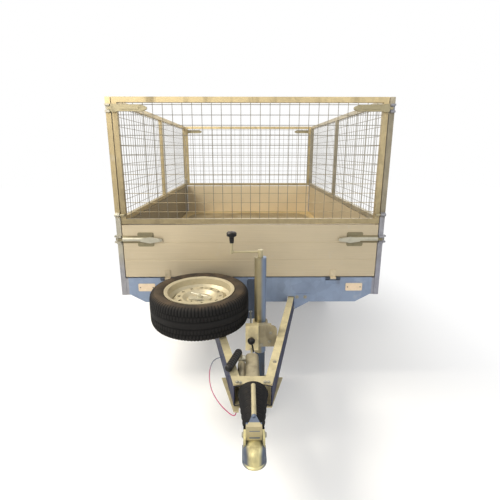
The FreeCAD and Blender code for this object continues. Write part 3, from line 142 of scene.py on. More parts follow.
LAMPS = (
    ("key", (-2.2, -4.8, 3.0), (0, -0.6, 0.7), 2.5, 116, (1.0, 0.93, 0.80)),
    ("fill", (4.0, -2.0, 3.0), (0, 0, 0.7), 3.0, 30, (0.86, 0.93, 1.0)),
    ("top", (-3.0, -0.4, 4.4), (0, 0.2, 0.6), 1.6, 196, (1.0, 0.94, 0.82)),
    ("back", (1.0, 5.0, 4.0), (0, 0, 0.8), 4.0, 90, (1.0, 0.96, 0.88)))
"""Name, place, aim, width, power and colour of each lamp."""

BLOOM, SCUFF = (0.62, 0.60, 0.54), (0.60, 0.58, 0.55)
"""White bloom on zinc and bare marks on aluminium, as linear light."""

CHIPPED, BLANK_PLATE = (0.16, 0.12, 0.09), (0.78, 0.78, 0.74)
"""Chips in the wheels' paint and the face of the number plate, as linear light."""

FLOOR_PRINT = 1250
"""Wave number of the print on the plywood, in radians per metre."""

LENS_PRISMS = 1100
"""The same for the prisms of the rear lamps."""


def linear(red, green, blue):
    """A display colour from 0 to 255 as linear light: the usual power curve with its toe."""
    shown = np.array((red, green, blue)) / 255
    light = np.where(shown <= 0.04045, shown / 12.92, ((shown + 0.055) / 1.055) ** 2.4)
    return tuple(float(part) for part in light)


def colour(name, description, red, green, blue):
    """A colour property with its default given as a display colour."""
    return bpy.props.FloatVectorProperty(
        name=name, description=description, subtype="COLOR", size=3, min=0, max=1,
        default=linear(red, green, blue))


def size(name, description, default):
    """A length property in metres."""
    return bpy.props.FloatProperty(
        name=name, description=description, default=default, min=0, unit="LENGTH", precision=4)


def rotation(name, description, degrees):
    """An angle property with its default in degrees."""
    return bpy.props.FloatProperty(
        name=name, description=description, default=math.radians(degrees), unit="ROTATION")


class TrailerColours(bpy.types.PropertyGroup):
    """Colours of the finishes, as a display shows them."""
    cage: colour("Cage", "Dulled zinc of the cage tubes", 204, 186, 144)
    wire: colour("Wire", "Zinc of the mesh wires", 168, 161, 144)
    # Painted shade: this greyer tone stands for the cage's right side facing away from the key lamp.
    grey: colour("Right side", "Greyer zinc of the cage's right side", 188, 178, 154)
    post: colour("Posts", "Zinc of the corner posts", 172, 168, 154)
    # Painted shade: a blue-grey cast on the posts' lower ends and on the right-hand posts.
    post_shade: colour("Cool zinc", "Blue-grey of the posts' lower ends", 152, 154, 168)
    board: colour("Boards", "Extruded aluminium of the drop boards", 202, 188, 160)
    bed: colour("Bed steel", "Blue-grey zinc of the crossmembers and rails", 140, 156, 182)
    arm: colour("Drawbar", "Zinc of the drawbar arms", 206, 194, 156)
    # Painted shade and blue sky reflection on the drawbar arms' upright webs.
    shade: colour("Drawbar webs", "Blue-grey of the arms' upright faces", 30, 40, 72)
    housing: colour("Housing", "Dull zinc of the overrun housing", 170, 160, 134)
    head: colour("Coupling", "Yellowed zinc of the ball head", 216, 206, 154)
    bright: colour("Bright zinc", "Fresh zinc of latches and fittings", 206, 202, 184)
    floor: colour("Floor", "Worn film of the plywood floor", 177, 154, 106)
    tyre: colour("Tyre", "Rubber of the tyres", 20, 19, 19)
    dust: colour("Dust", "Dust that lies on rubber and steel", 128, 108, 84)
    rim: colour("Rim", "Silver of the wheels", 196, 186, 158)
    rubber: colour("Boot", "Rubber of the boot and grip", 15, 14, 15)
    plastic: colour("Black plastic", "Knobs, lamp cases and mudguards", 16, 16, 18)
    cable: colour("Cable", "Coating of the breakaway cable", 176, 40, 100)
    red: colour("Red lens", "Rear and stop lamp", 150, 12, 10)
    amber: colour("Amber lens", "Turn lamp", 205, 96, 12)
    pale: colour("Pale lens", "Reflectors", 240, 218, 188)


class TrailerSizes(bpy.types.PropertyGroup):
    """Sizes of the pieces that are added to the frame."""
    tyre_radius: size("Tyre radius", "Outside radius of the tyre", 0.2565)
    tyre_width: size("Tyre width", "Width over the side walls", 0.177)
    rim_radius: size("Rim radius", "Radius of the rim's flange", 0.1825)
    groove_depth: size("Groove depth", "Depth of the tread grooves", 0.007)
    bolt_radius: size("Bolt radius", "Half the width of a wheel bolt's head", 0.0095)
    screw_radius: size("Screw radius", "Half the width of a reflector screw's head", 0.0035)
    cable_diameter: size("Cable diameter", "Breakaway cable", 0.004)
    sipes: bpy.props.IntProperty(
        name="Shoulder cuts", description="Cuts round each shoulder", default=96, min=30)


class TrailerStage(bpy.types.PropertyGroup):
    """Floor, lamps and camera."""
    ground: colour("Ground", "Plain floor under the trailer", 226, 226, 226)
    lift: bpy.props.FloatProperty(
        name="Lift", description="Light that the floor adds towards the camera",
        default=0.26, min=0)
    lens: bpy.props.FloatProperty(
        name="Lens", description="Focal length on a 36 mm sensor", default=27.158, unit="CAMERA")
    camera_height: size("Camera height", "Height of the camera", 1.39)
    camera_ahead: size("Camera distance", "Camera ahead of the trailer's middle", 2.8454)
    camera_left: size("Camera offset", "Camera to the left of the trailer's middle", 0.0243)
    camera_tilt: rotation("Camera tilt", "Camera's lean up from straight down", 75.317)
    camera_turn: rotation("Camera turn", "Camera's turn to the right", 0.5602)


# Shader arithmetic.


class Socket:
    """A shader value that takes part in Python arithmetic; each step adds a Math node."""

    def __init__(self, finish, output):
        self.finish = finish
        self.output = output

    def math(self, operation, *values):
        return self.finish.add(
            "ShaderNodeMath", {"operation": operation}, dict(enumerate((self, *values))))

    def __add__(self, other):
        return self.math("ADD", other)

    __radd__ = __add__

    def __mul__(self, other):
        return self.math("MULTIPLY", other)

    __rmul__ = __mul__

    def __sub__(self, other):
        return self.math("SUBTRACT", other)

    def __rsub__(self, other):
        return self.finish.add("ShaderNodeMath", {"operation": "SUBTRACT"}, {0: other, 1: self})

    def __pow__(self, other):
        return self.math("POWER", other)

    def __abs__(self):
        return self.math("ABSOLUTE")

    def over(self, low, high):
        """Rises smoothly from 0 at low to 1 at high."""
        return self.finish.add("ShaderNodeMapRange", {"interpolation_type": "SMOOTHSTEP"},
                               {"Value": self, "From Min": low, "From Max": high})


class Finish:
    """One material while it is built."""

    def __init__(self, name, roughness=0.5, specular=0.5):
        self.material = bpy.data.materials.new(name)
        self.material.use_nodes = True
        self.tree = self.material.node_tree
        self.shader = self.tree.nodes["Principled BSDF"]
        self.shader.inputs["Roughness"].default_value = roughness
        self.shader.inputs["Specular IOR Level"].default_value = specular

    def feed(self, entry, value):
        """Links a shader value to a socket, or sets the socket to a number or a colour."""
        if isinstance(value, Socket):
            self.tree.links.new(value.output, entry)
        elif isinstance(value, (tuple, list)) and len(entry.default_value) == 4 and len(value) == 3:
            entry.default_value = (*value, 1)
        else:
            entry.default_value = value

    def add(self, kind, settings=None, inputs=None, output=0):
        """Any node: its settings first, then the values or links of its sockets."""
        made = self.tree.nodes.new(kind)
        for name, value in (settings or {}).items():
            setattr(made, name, value)
        for key, value in (inputs or {}).items():
            self.feed(made.inputs[key], value)
        return Socket(self, made.outputs[output])

    def place(self, stretch=(1, 1, 1), centre=(0, 0, 0)):
        """Object coordinates, moved to a centre and scaled."""
        spot = self.add("ShaderNodeTexCoord", output="Object")
        moved = self.add("ShaderNodeVectorMath", {"operation": "SUBTRACT"}, {0: spot, 1: centre})
        return self.add("ShaderNodeVectorMath", {"operation": "MULTIPLY"}, {0: moved, 1: stretch})

    def part(self, vector, axis):
        """One coordinate of a vector."""
        return self.add("ShaderNodeSeparateXYZ", inputs={0: vector}, output=axis)

    def facing(self, axis):
        """One coordinate of the surface's own normal."""
        return self.part(self.add("ShaderNodeTexCoord", output="Normal"), axis)

    def noise(self, scale, detail=3, stretch=(1, 1, 1)):
        """Cloudy noise between 0 and 1."""
        return self.add("ShaderNodeTexNoise", {}, {
            "Vector": self.place(stretch), "Scale": scale, "Detail": detail, "Roughness": 0.55})

    def cells(self, scale):
        """A random level for each crystal-like cell."""
        inputs = {"Vector": self.place(), "Scale": scale}
        return self.part(self.add("ShaderNodeTexVoronoi", {}, inputs, "Color"), 0)

    def mix(self, mask, first, second):
        """The first colour where the mask is 0 and the second where it is 1."""
        made = self.tree.nodes.new("ShaderNodeMix")
        made.data_type = "RGBA"
        self.feed(made.inputs[0], mask)
        self.feed(made.inputs[6], first)
        self.feed(made.inputs[7], second)
        return Socket(self, made.outputs[2])

    def shaded(self, paint, level):
        """A colour made lighter or darker by a level round 1."""
        return self.add("ShaderNodeVectorMath", {"operation": "SCALE"}, {0: paint, "Scale": level})

    def finish(self, paint, roughness=None, metallic=None, height=None, depth=0.001):
        """Joins colour, roughness, metal and bump to the shader."""
        self.feed(self.shader.inputs["Base Color"], paint)
        if roughness is not None:
            self.feed(self.shader.inputs["Roughness"], roughness)
        if metallic is not None:
            self.feed(self.shader.inputs["Metallic"], metallic)
        if height is not None:
            bump = self.add(
                "ShaderNodeBump", {}, {"Height": height, "Distance": depth, "Strength": 0.6})
            self.feed(self.shader.inputs["Normal"], bump)
        return self.material


def tone(paint, factor):
    """A fixed colour made lighter or darker in Python."""
    return tuple(min(1.0, part * factor) for part in paint)


# Masks.


def between(value, low, high):
    """A mask that is 1 between two levels."""
    return value.over(low - 0.0005, low + 0.0005) * (1 - value.over(high - 0.0005, high + 0.0005))


def beyond(axis, sign, level, reach=0.002):
    """A mask of what lies past a level along one axis."""
    def mask(made):
        return ((made.part(made.place(), axis) - level) * sign).over(-reach, reach)
    return mask


def window(axis, low, high):
    """A mask of the wires of a cage panel: inside the upright and level tubes of its frame."""
    def mask(made):
        spot = made.place((1, 1, 1), (0, BED_MIDDLE, 0))
        beside = between(abs(made.part(spot, axis)), low, high)
        return between(made.part(spot, 2), *OPENING) * beside
    return mask


def woven(inside, height):
    """A mask of a panel's wires, without the level ones below a height: there the up- and
    down-facing faces keep the lighter frame colour, painted light.
    """
    def mask(made):
        upright = 1 - abs(made.facing(2)).over(0.1, 0.3)
        level = (1 - upright) * (1 - beyond(2, 1, height, 0.15)(made))
        return inside(made) * (1 - level)
    return mask


def lower_frame(inside, height):
    """A mask of a panel's frame below a height."""
    def mask(made):
        return (1 - inside(made)) * beyond(2, -1, height, 0.2)(made)
    return mask


def post_shade(made):
    """A mask of painted shade: the posts' lower ends and the posts on the right."""
    right = beyond(0, 1, 0, 0.3)(made)
    low = 1 - beyond(2, 1, 0.76, 0.08)(made)
    return 1 - (1 - right * 0.75) * (1 - low * 0.7)


def recess(axis, sign, outermost, depth, low):
    """A mask of what lies behind a fitting's outermost faces, along one axis and above a level,
    where painted shade darkens the recesses.
    """
    def mask(made):
        inward = (made.part(made.place(), axis) - outermost) * sign
        above = made.part(made.place(), 2).over(low, low + 0.01)
        return inward.over(depth - 0.001, depth + 0.001) * above
    return mask


def flank(made):
    """A mask of the faces that look to either side."""
    return abs(made.facing(0)).over(0.3, 0.75)


def slots(made):
    """A mask of the coupling handle's neck and of two slots in the front of its block, where painted
    shade lies.
    """
    spot = made.place((1, 1, 1), row_frame(1, -1101, 0))
    back, level = made.part(spot, 1), made.part(spot, 2)
    inside = (1 - back.over(0.001, 0.002)) * (1 - abs(made.part(spot, 0)).over(0.017, 0.018))
    lines = between(level, 0.475, 0.481) + between(level, 0.502, 0.505)
    return between(back, 0.017, 0.053) + lines * inside


# Finishes.


def zinc(name, paint, shade=None, dirt=0.25, metallic=0.55, spangle=45, mask=None, low=1.0,
         foot=None, across=0.0, specular=0.5):
    """Weathered zinc: crystal cells, cloudy white bloom and grime in patches.

    Shade is a second colour. It lies on the upright faces, or on the mask where one is given; on the
    upright faces it is painted shade and sky reflection. What lies below the cage's top rail is
    darkened to the level low, painted shade under the sunlit rail. Foot is a third colour with its
    mask. The level grows by the share across for each metre to the right, painted light that evens
    out the key lamp's fall-off.
    """
    made = Finish(name, specular=specular)
    colours = bpy.context.scene.trailer_colours
    bloom = made.noise(7, 4)
    crystals = made.cells(spangle)
    grain = made.noise(260, 2)
    base = tuple(paint)
    plain = 1.0
    if foot is not None:
        base = made.mix(foot[1](made), base, tuple(foot[0]))
    if shade is not None:
        where = mask(made) if mask else (1 - abs(made.facing(2))).over(0.35, 0.8)
        base = made.mix(where, base, tuple(shade))
        plain = 1 - where * 0.8
    level = 0.70 + crystals * 0.14 + bloom * 0.42
    if across:
        level = level * (1 + made.part(made.place(), 0) * across)
    if low < 1:
        level = level * (low + made.part(made.place(), 2).over(*TOP_RAIL) * (1 - low))
    body = made.shaded(base, level)
    grime = made.noise(16, 5, (1, 1, 0.35)).over(0.52, 0.74) * dirt
    stained = made.mix(grime, body, tone(colours.dust, 0.30))
    worn = made.mix(bloom.over(0.62, 0.8) * 0.3 * plain, stained, BLOOM)
    rough = 0.30 + crystals * 0.10 + bloom * 0.18 + grime * 0.5
    return made.finish(worn, rough, metallic - grime * 0.5, crystals * 0.3 + grain * 0.5, 0.0004)


def extrusion(name, paint, along, inner=None):
    """Extruded aluminium: draw lines along the board, handling marks, dust near the lower edge.

    Inner is the axis and the sign that the board's inner face looks to, and that face's level:
    painted light and shade for how the lamps fall on that face.
    """
    made = Finish(name)
    colours = bpy.context.scene.trailer_colours
    stretch = [1.0, 1.0, 1.0]
    stretch[along] = 0.012
    lines = made.noise(420, 2, tuple(stretch))
    clouds = made.noise(3.2, 4)
    marks = made.noise(34, 6, (1, 1, 0.5)).over(0.60, 0.74)
    height = made.part(made.place(), 2)
    low = 1 - height.over(0.64, 0.70)
    level = 0.78 + lines * 0.20 + clouds * 0.20
    if inner is not None:
        axis, sign, light = inner
        level = level * (1 + (made.facing(axis) * sign).over(0.3, 0.7) * (light - 1))
    body = made.shaded(tuple(paint), level)
    dusty = made.mix(low * made.noise(14, 5).over(0.35, 0.75) * 0.22, body, tone(colours.dust, 0.9))
    worn = made.mix(marks * 0.22, dusty, SCUFF)
    return made.finish(worn, 0.36 + clouds * 0.16 + marks * 0.12, 0.5 - low * 0.2, lines, 0.0003)


def plywood(name, paint):
    """Film-faced plywood: a fine mesh print, scuffs along the bed, dust in patches, pale edges round
    a darker middle, a painted reflection of the boards on the film.
    """
    made = Finish(name)
    colours = bpy.context.scene.trailer_colours
    spot = made.place()
    across = (made.part(spot, 0) * FLOOR_PRINT).math("SINE")
    along = (made.part(spot, 1) * FLOOR_PRINT).math("SINE")
    grid = (across * along).over(-0.2, 0.9)
    scuffs = made.noise(30, 6, (1, 0.08, 1)).over(0.54, 0.72)
    dust = made.noise(4, 5).over(0.40, 0.72)
    # Painted reflection: the film is pale near the boards and darker in the middle.
    bed = made.place((1 / 0.735, 1 / 1.25, 1), (0, BED_MIDDLE, 0))
    edge = (abs(made.part(bed, 0)) ** 12 + abs(made.part(bed, 1)) ** 6).over(0.34, 0.50)
    level = (0.82 + grid * 0.22 + made.noise(9, 3) * 0.2) * (0.56 + edge * 0.68)
    scuffed = made.mix(scuffs * 0.35, made.shaded(tuple(paint), level), tone(colours.dust, 1.1))
    dusty = made.mix(dust * (1 - edge) * 0.2, scuffed, tuple(colours.dust))
    return made.finish(dusty, 0.42 + dust * 0.35, None, grid, 0.0005)


def tyre_rubber(name):
    """Tyre rubber: dust on the side wall and painted shade in the grooves, from the piece's own
    attributes.
    """
    made = Finish(name, specular=0.3)
    colours = bpy.context.scene.trailer_colours
    sunk = made.add("ShaderNodeAttribute", {"attribute_name": "sunk"}, output="Fac")
    wall = made.add("ShaderNodeAttribute", {"attribute_name": "wall"}, output="Fac")
    clouds = made.noise(14, 5)
    # Painted shade: the grooves are darkened by the sunk attribute.
    body = made.shaded(tuple(colours.tyre), (0.9 + made.noise(120, 3) * 0.6) * (1.1 - sunk))
    veil = wall * (1 - sunk) * (0.12 + clouds.over(0.3, 0.75) * 0.5)
    dusty = made.mix(veil, body, tone(colours.dust, 0.62))
    return made.finish(dusty, 0.72 + clouds * 0.2, None, made.noise(600, 2), 0.0002)


def black(name, paint, roughness, grain, depth, dust=0.28):
    """Moulded rubber or plastic: a fine grain, faded patches and a little dust on top."""
    made = Finish(name, specular=0.3)
    colours = bpy.context.scene.trailer_colours
    faded = made.noise(18, 4)
    top = made.facing(2).over(0.4, 0.95) * made.noise(40, 4).over(0.35, 0.7)
    body = made.shaded(tuple(paint), 0.75 + faded * 0.6)
    dusty = made.mix(top * dust, body, tone(colours.dust, 0.8))
    return made.finish(dusty, roughness + faded * 0.18, None, made.noise(grain, 2), depth)


def roller(name, centre):
    """Jockey wheel: solid rubber outside and a pale hub, by distance from its axis."""
    made = Finish(name)
    colours = bpy.context.scene.trailer_colours
    spot = made.place((1, 1, 1), centre)
    radius = (made.part(spot, 1) ** 2 + made.part(spot, 2) ** 2) ** 0.5
    tread = radius.over(0.077, 0.080)
    clouds = made.noise(30, 5)
    hub = made.shaded(tuple(colours.bright), 0.7 + clouds * 0.5)
    rubber = made.mix(clouds.over(0.4, 0.75) * 0.5, tuple(colours.tyre), tone(colours.dust, 0.6))
    both = made.mix(tread, hub, rubber)
    return made.finish(both, 0.45 + tread * 0.35, (1 - tread) * 0.4, made.noise(300, 2), 0.0003)


def lens(name, middle, half):
    """Rear lamp lens: amber outside, red inside, with fine prisms."""
    made = Finish(name, 0.16)
    colours = bpy.context.scene.trailer_colours
    spot = made.place()
    outside = abs(made.part(spot, 0)).over(middle + half * 0.28, middle + half * 0.3)
    across = (made.part(spot, 0) * LENS_PRISMS).math("SINE")
    prisms = across * (made.part(spot, 2) * LENS_PRISMS).math("SINE")
    paint = made.mix(outside, tuple(colours.red), tuple(colours.amber))
    dusted = made.mix(made.noise(30, 5).over(0.5, 0.8) * 0.2, paint, tuple(colours.dust))
    made.shader.inputs["Coat Weight"].default_value = 0.6
    return made.finish(made.shaded(dusted, 0.9 + prisms * 0.18), None, None, prisms, 0.0006)


def painted(name, paint, roughness=0.35, dirt=0.2, upper=None):
    """Smooth paint or coating with a light film of dust and small scratches.

    Upper is a colour and the height above which it lies.
    """
    made = Finish(name)
    colours = bpy.context.scene.trailer_colours
    clouds = made.noise(20, 5)
    scratch = made.noise(160, 3, (1, 0.15, 1)).over(0.66, 0.74)
    base = tuple(paint)
    if upper is not None:
        base = made.mix(beyond(2, 1, upper[1], 0.012)(made), base, tuple(upper[0]))
    body = made.shaded(base, 0.88 + clouds * 0.22)
    dusty = made.mix(clouds.over(0.45, 0.8) * dirt, body, tuple(colours.dust))
    worn = made.mix(scratch * 0.25, dusty, tone(paint, 0.6))
    return made.finish(worn, roughness + clouds * 0.15, None, made.noise(220, 2), 0.0002)


def wheel_steel(name, paint):
    """Silver wheel paint with brake dust in patches and small chips."""
    made = Finish(name)
    colours = bpy.context.scene.trailer_colours
    clouds = made.noise(24, 5)
    chips = made.noise(90, 4).over(0.68, 0.76)
    body = made.shaded(tuple(paint), 0.84 + clouds * 0.26)
    dusty = made.mix(clouds.over(0.5, 0.8) * 0.4, body, tone(colours.dust, 0.8))
    worn = made.mix(chips * 0.5, dusty, CHIPPED)
    return made.finish(
        worn, 0.34 + clouds * 0.2, 0.35 - chips * 0.3, made.noise(260, 2), 0.0003)


def dress(material, *names):
    """Gives CAD nodes one material."""
    for name in names:
        piece = frame["nodes"][name]
        piece.data.materials.clear()
        piece.data.materials.append(material)


# Surfaces.


def sheet(name, points, round_u, round_v, material, body, smooth=True, **values):
    """A mesh on a grid of points u by v by 3, joined round in either direction where asked."""
    across, down = points.shape[:2]
    u = np.arange(across if round_u else across - 1)
    v = np.arange(down if round_v else down - 1)
    first = (u[:, None] * down + v[None, :]).ravel()
    beside = (((u + 1) % across)[:, None] * down + v[None, :]).ravel()
    opposite = (((u + 1) % across)[:, None] * down + ((v + 1) % down)[None, :]).ravel()
    below = (u[:, None] * down + ((v + 1) % down)[None, :]).ravel()
    faces = np.stack([first, beside, opposite, below], 1).tolist()
    return solid(name, points.reshape(-1, 3), faces, material, body, smooth, **values)


def solid(name, points, faces, material, body, smooth=False, **values):
    """A mesh object that rides on a body, with any named values per point."""
    mesh = bpy.data.meshes.new(name)
    mesh.from_pydata(points.tolist(), [], faces)
    for key, numbers in values.items():
        data = mesh.attributes.new(key, "FLOAT", "POINT").data
        data.foreach_set("value", numbers.ravel().astype(np.float32))
    mesh.polygons.foreach_set("use_smooth", np.full(len(mesh.polygons), smooth))
    mesh.materials.append(material)
    mesh.update()
    made = bpy.data.objects.new(name, mesh)
    bpy.context.scene.collection.objects.link(made)
    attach(made, body)
    return made


def axes_for(direction):
    """Two directions at right angles to the given ones, as arrays of the same shape."""
    direction = np.asarray(direction, float)
    helper = np.where(np.abs(direction[..., 2:]) < 0.9, [0.0, 0.0, 1.0], [1.0, 0.0, 0.0])
    side = np.cross(helper, direction)
    side /= np.linalg.norm(side, axis=-1, keepdims=True)
    return side, np.cross(direction, side)


def tyre_section(sizes, steps):
    """A tyre's outer section from bead to bead, as pairs of radius and distance across.

    The strokes between the main points are rounded by averaging each point with its neighbours.
    """
    half = sizes.tyre_width / 2
    rim, top = sizes.rim_radius, sizes.tyre_radius
    corners = np.array([
        (rim - 0.010, half - 0.016), (rim + 0.002, half - 0.0105), (rim + 0.008, half - 0.006),
        (rim + 0.020, half - 0.0015), (rim + 0.032, half), (top - 0.028, half - 0.001),
        (top - 0.014, half - 0.006), (top - 0.005, half - 0.016), (top - 0.001, half - 0.034),
        (top, 0.0)])
    full = np.vstack([corners, (corners * (1, -1))[-2::-1]])
    run = np.concatenate([[0], np.cumsum(np.linalg.norm(np.diff(full, axis=0), axis=1))])
    at = np.linspace(0, run[-1], steps)
    line = np.stack([np.interp(at, run, full[:, k]) for k in (0, 1)], 1)
    for _ in range(2):
        line[1:-1] = (line[:-2] + line[1:-1] * 2 + line[2:]) / 4
    return line


def tread(name, body, centre, axis, node, material):
    """A tyre: the section carried round the axis, pushed in where grooves and cuts run.

    Long grooves run round the tread, staggered cuts cross its ribs and short cuts its shoulders.
    """
    sizes = bpy.context.scene.trailer_sizes
    line = tyre_section(sizes, TREAD_STEPS)
    radius, across = line[:, 0], line[:, 1]
    angle = np.linspace(0, 2 * math.pi, TREAD_TURNS, endpoint=False)
    half, centre, axis = sizes.tyre_width / 2, np.array(centre), np.array(axis)
    on_tread = (radius > sizes.tyre_radius - 0.007) & (np.abs(across) < half - 0.016)
    rings = np.clip(1.7 - np.abs(across - np.array(GROOVES)[:, None]) / GROOVE_HALF, 0, 1).max(0)
    cut = np.clip(1.6 - np.abs(((angle * sizes.sipes / (2 * math.pi)) % 1) - 0.5) * 7, 0, 1)
    shoulder = (np.abs(across) > 0.050) & (radius > sizes.tyre_radius - 0.022)
    ribs = (np.abs(across) > RIBS[0]) & (np.abs(across) < RIBS[1])
    sunk = np.maximum(on_tread * rings, cut[:, None] * shoulder * 0.8)
    sunk = np.maximum(sunk, np.roll(cut, 3)[:, None] * ribs * on_tread * 0.6)
    reach = radius - sunk * sizes.groove_depth
    side, other = axes_for(axis)
    spin = np.cos(angle)[:, None, None] * side + np.sin(angle)[:, None, None] * other
    points = centre + spin * reach[..., None] + across[None, :, None] * axis
    wall = np.tile(np.clip((sizes.tyre_radius - 0.006 - radius) / 0.02, 0, 1), (TREAD_TURNS, 1))
    inside = np.array([
        (sizes.rim_radius - 0.014, -half + 0.026), (sizes.tyre_radius - 0.045, -half + 0.018),
        (sizes.tyre_radius - 0.016, -half + 0.036), (sizes.tyre_radius - 0.016, half - 0.036),
        (sizes.tyre_radius - 0.045, half - 0.018), (sizes.rim_radius - 0.014, half - 0.026)])
    inner = centre + spin * inside[None, :, 0, None] + inside[None, :, 1, None] * axis
    points = np.concatenate([points, inner], 1)
    pad = np.zeros((TREAD_TURNS, len(inside)))
    made = sheet(name, points, round_u=True, round_v=True, material=material, body=body,
                 sunk=np.concatenate([sunk, pad], 1), wall=np.concatenate([wall, pad], 1))
    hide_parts(node)
    return made


def heads(name, body, spots, directions, radius, height, material, washer=1.5):
    """Hexagonal heads on washers: a profile carried round one direction, or one for each spot.

    Of twelve points to a turn every second one is drawn in to the middle of a flat.
    """
    spots = np.asarray(spots, float)
    directions = np.broadcast_to(np.asarray(directions, float), spots.shape)
    directions = directions / np.linalg.norm(directions, axis=1, keepdims=True)
    profile = np.array([(washer, -0.1), (washer, 0.22), (1.0, 0.22),
                        (1.0, 0.85), (0.8, 1.0), (0.0, 1.0)])
    turns = 12
    angle = np.linspace(0, 2 * math.pi, turns, endpoint=False)
    flat = np.where(np.arange(turns) % 2 == 0, 1.0, math.cos(math.pi / 6))
    ring = np.where(np.arange(len(profile))[None, :] < 2, 1.0, flat[:, None])
    side, other = axes_for(directions)
    out = profile[None, :, 0] * ring * radius
    spin = (np.cos(angle)[None, :, None] * side[:, None, :]
            + np.sin(angle)[None, :, None] * other[:, None, :])
    points = (spots[:, None, None, :] + spin[:, :, None, :] * out[None, :, :, None]
              + directions[:, None, None, :] * (profile[None, None, :, 1, None] * height))
    down = len(profile)
    u, v = np.meshgrid(np.arange(turns), np.arange(down - 1), indexing="ij")
    one = np.stack([u * down + v, ((u + 1) % turns) * down + v, ((u + 1) % turns) * down + v + 1,
                    u * down + v + 1], -1).reshape(-1, 4)
    foot = (np.arange(turns) * down)[::-1]
    starts = np.arange(len(spots)) * turns * down
    quads = (one[None] + starts[:, None, None]).reshape(-1, 4)
    feet = foot[None] + starts[:, None]
    made = solid(name, points.reshape(-1, 3), quads.tolist() + feet.tolist(), material, body)
    return made


def tube(name, body, path, radius, material, turns=16):
    """A round bar: a circle carried along points, at right angles to the way there, ends closed."""
    path = np.asarray(path, float)
    radius = np.broadcast_to(np.asarray(radius, float), (len(path),))
    way = np.gradient(path, axis=0)
    way /= np.linalg.norm(way, axis=1, keepdims=True)
    side, other = axes_for(way)
    angle = np.linspace(0, 2 * math.pi, turns, endpoint=False)
    spin = np.cos(angle)[:, None, None] * side[None] + np.sin(angle)[:, None, None] * other[None]
    points = path[None] + spin * radius[None, :, None]
    first, last = (np.repeat(end[None], turns, 0) for end in (path[:1], path[-1:]))
    closed = np.concatenate([first, points, last], 1)
    made = sheet(name, closed, round_u=True, round_v=False, material=material, body=body)
    return made


def row_frame(x, y, z):
    """Millimetres behind the front board to metres about the trailer's middle."""
    return (x / 1000, y / 1000 - MIDDLE, z / 1000)


def centre_of(node):
    """Middle of a node's box."""
    low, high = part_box(node)
    return (low + high) / 2


def grip_line():
    """Points and radii of the handbrake's grip: a straight bar with ridged rings and round ends."""
    start, end = (np.array(row_frame(*spot)) for spot in GRIP_ENDS)
    length = np.linalg.norm(end - start)
    along = np.linspace(0, 1, 160)
    rounded = np.clip(1 - (np.abs(along - 0.5) * 2 - 0.86) / 0.14, 0, 1)
    ridges = 0.0012 * np.abs(np.cos(along * math.pi * 11)) ** 0.7
    radius = (0.0157 + ridges) * np.sqrt(np.clip(1 - (1 - rounded) ** 2, 0.02, 1))
    return start + (end - start) / length * along[:, None] * (length + 0.016), radius


# Operators.


class TRAILER_OT_cage(bpy.types.Operator):
    """Finishes the mesh cage, its posts and its fittings"""
    bl_idname = "trailer.cage"
    bl_label = "Finish the cage"

    def execute(self, context):
        colours = context.scene.trailer_colours
        ends, sides = window(0, *END_WIRES), window(1, *SIDE_WIRES)
        lower = (tone(colours.cage, 0.8), lower_frame(ends, FRAME_CHANGE))
        # Painted light on the front panel: darker below the top rail (low), brighter to the right
        # against the key lamp's fall-off (across), and the level wires' up- and down-facing faces
        # kept light (woven).
        dress(zinc("cage_front", colours.cage, tone(colours.wire, 0.8), dirt=0.3, low=0.76,
                   across=0.25, mask=woven(ends, WIRE_CHANGE), foot=lower), "front_mesh")
        # Painted shade: the rear panel darkens below its top rail (low).
        dress(zinc("cage_rear", colours.cage, colours.wire, dirt=0.3, mask=ends, low=0.72),
              "rear_mesh")
        # Painted shade: both side panels darken below the top rail (low), and the right one takes
        # the greyer tone because it faces away from the key lamp.
        for side, paint in (("left", colours.cage), ("right", colours.grey)):
            dress(zinc(f"cage_{side}", paint, colours.wire, dirt=0.3, mask=sides, low=0.66),
                  f"cage_side_{side}")
        # Painted shade on the right-hand posts and on the posts' lower ends.
        dress(zinc("post_zinc", colours.post, colours.post_shade, dirt=0.3, mask=post_shade),
              "corner_posts", "latch_keepers", "cage_brackets")
        # Painted shadow: the hinges' upper parts under the board are dark.
        hinge_shadow = beyond(2, 1, HINGE_TOP)
        dress(zinc("hinge_zinc", colours.bed, tone(colours.bed, 0.25), dirt=0.4, mask=hinge_shadow),
              "board_hinges")
        dress(zinc("mesh_fitting_zinc", tone(colours.arm, 0.66), dirt=0.5, metallic=0.35,
                   spangle=60), "front_mesh_fittings", "rear_mesh_fittings")
        strap = (tone(colours.board, 1.05), beyond(2, -1, STRAP_TOP))
        for node, axis, sign in (
                ("front_board_fittings", 1, 1), ("tailgate_fittings", 1, -1),
                ("side_board_left_fittings", 0, 1), ("side_board_right_fittings", 0, -1)):
            low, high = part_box(node)
            outermost = low[axis] if sign > 0 else high[axis]
            # Painted shade: what lies behind a latch's outermost faces is darkened.
            sunk = recess(axis, sign, float(outermost), 0.0085, float(high.z) - 0.12)
            dress(zinc(node + "_zinc", tone(colours.bright, 0.82), tone(colours.arm, 0.42),
                       dirt=0.4, metallic=0.6, spangle=60, mask=sunk, foot=strap), node)
        return {"FINISHED"}


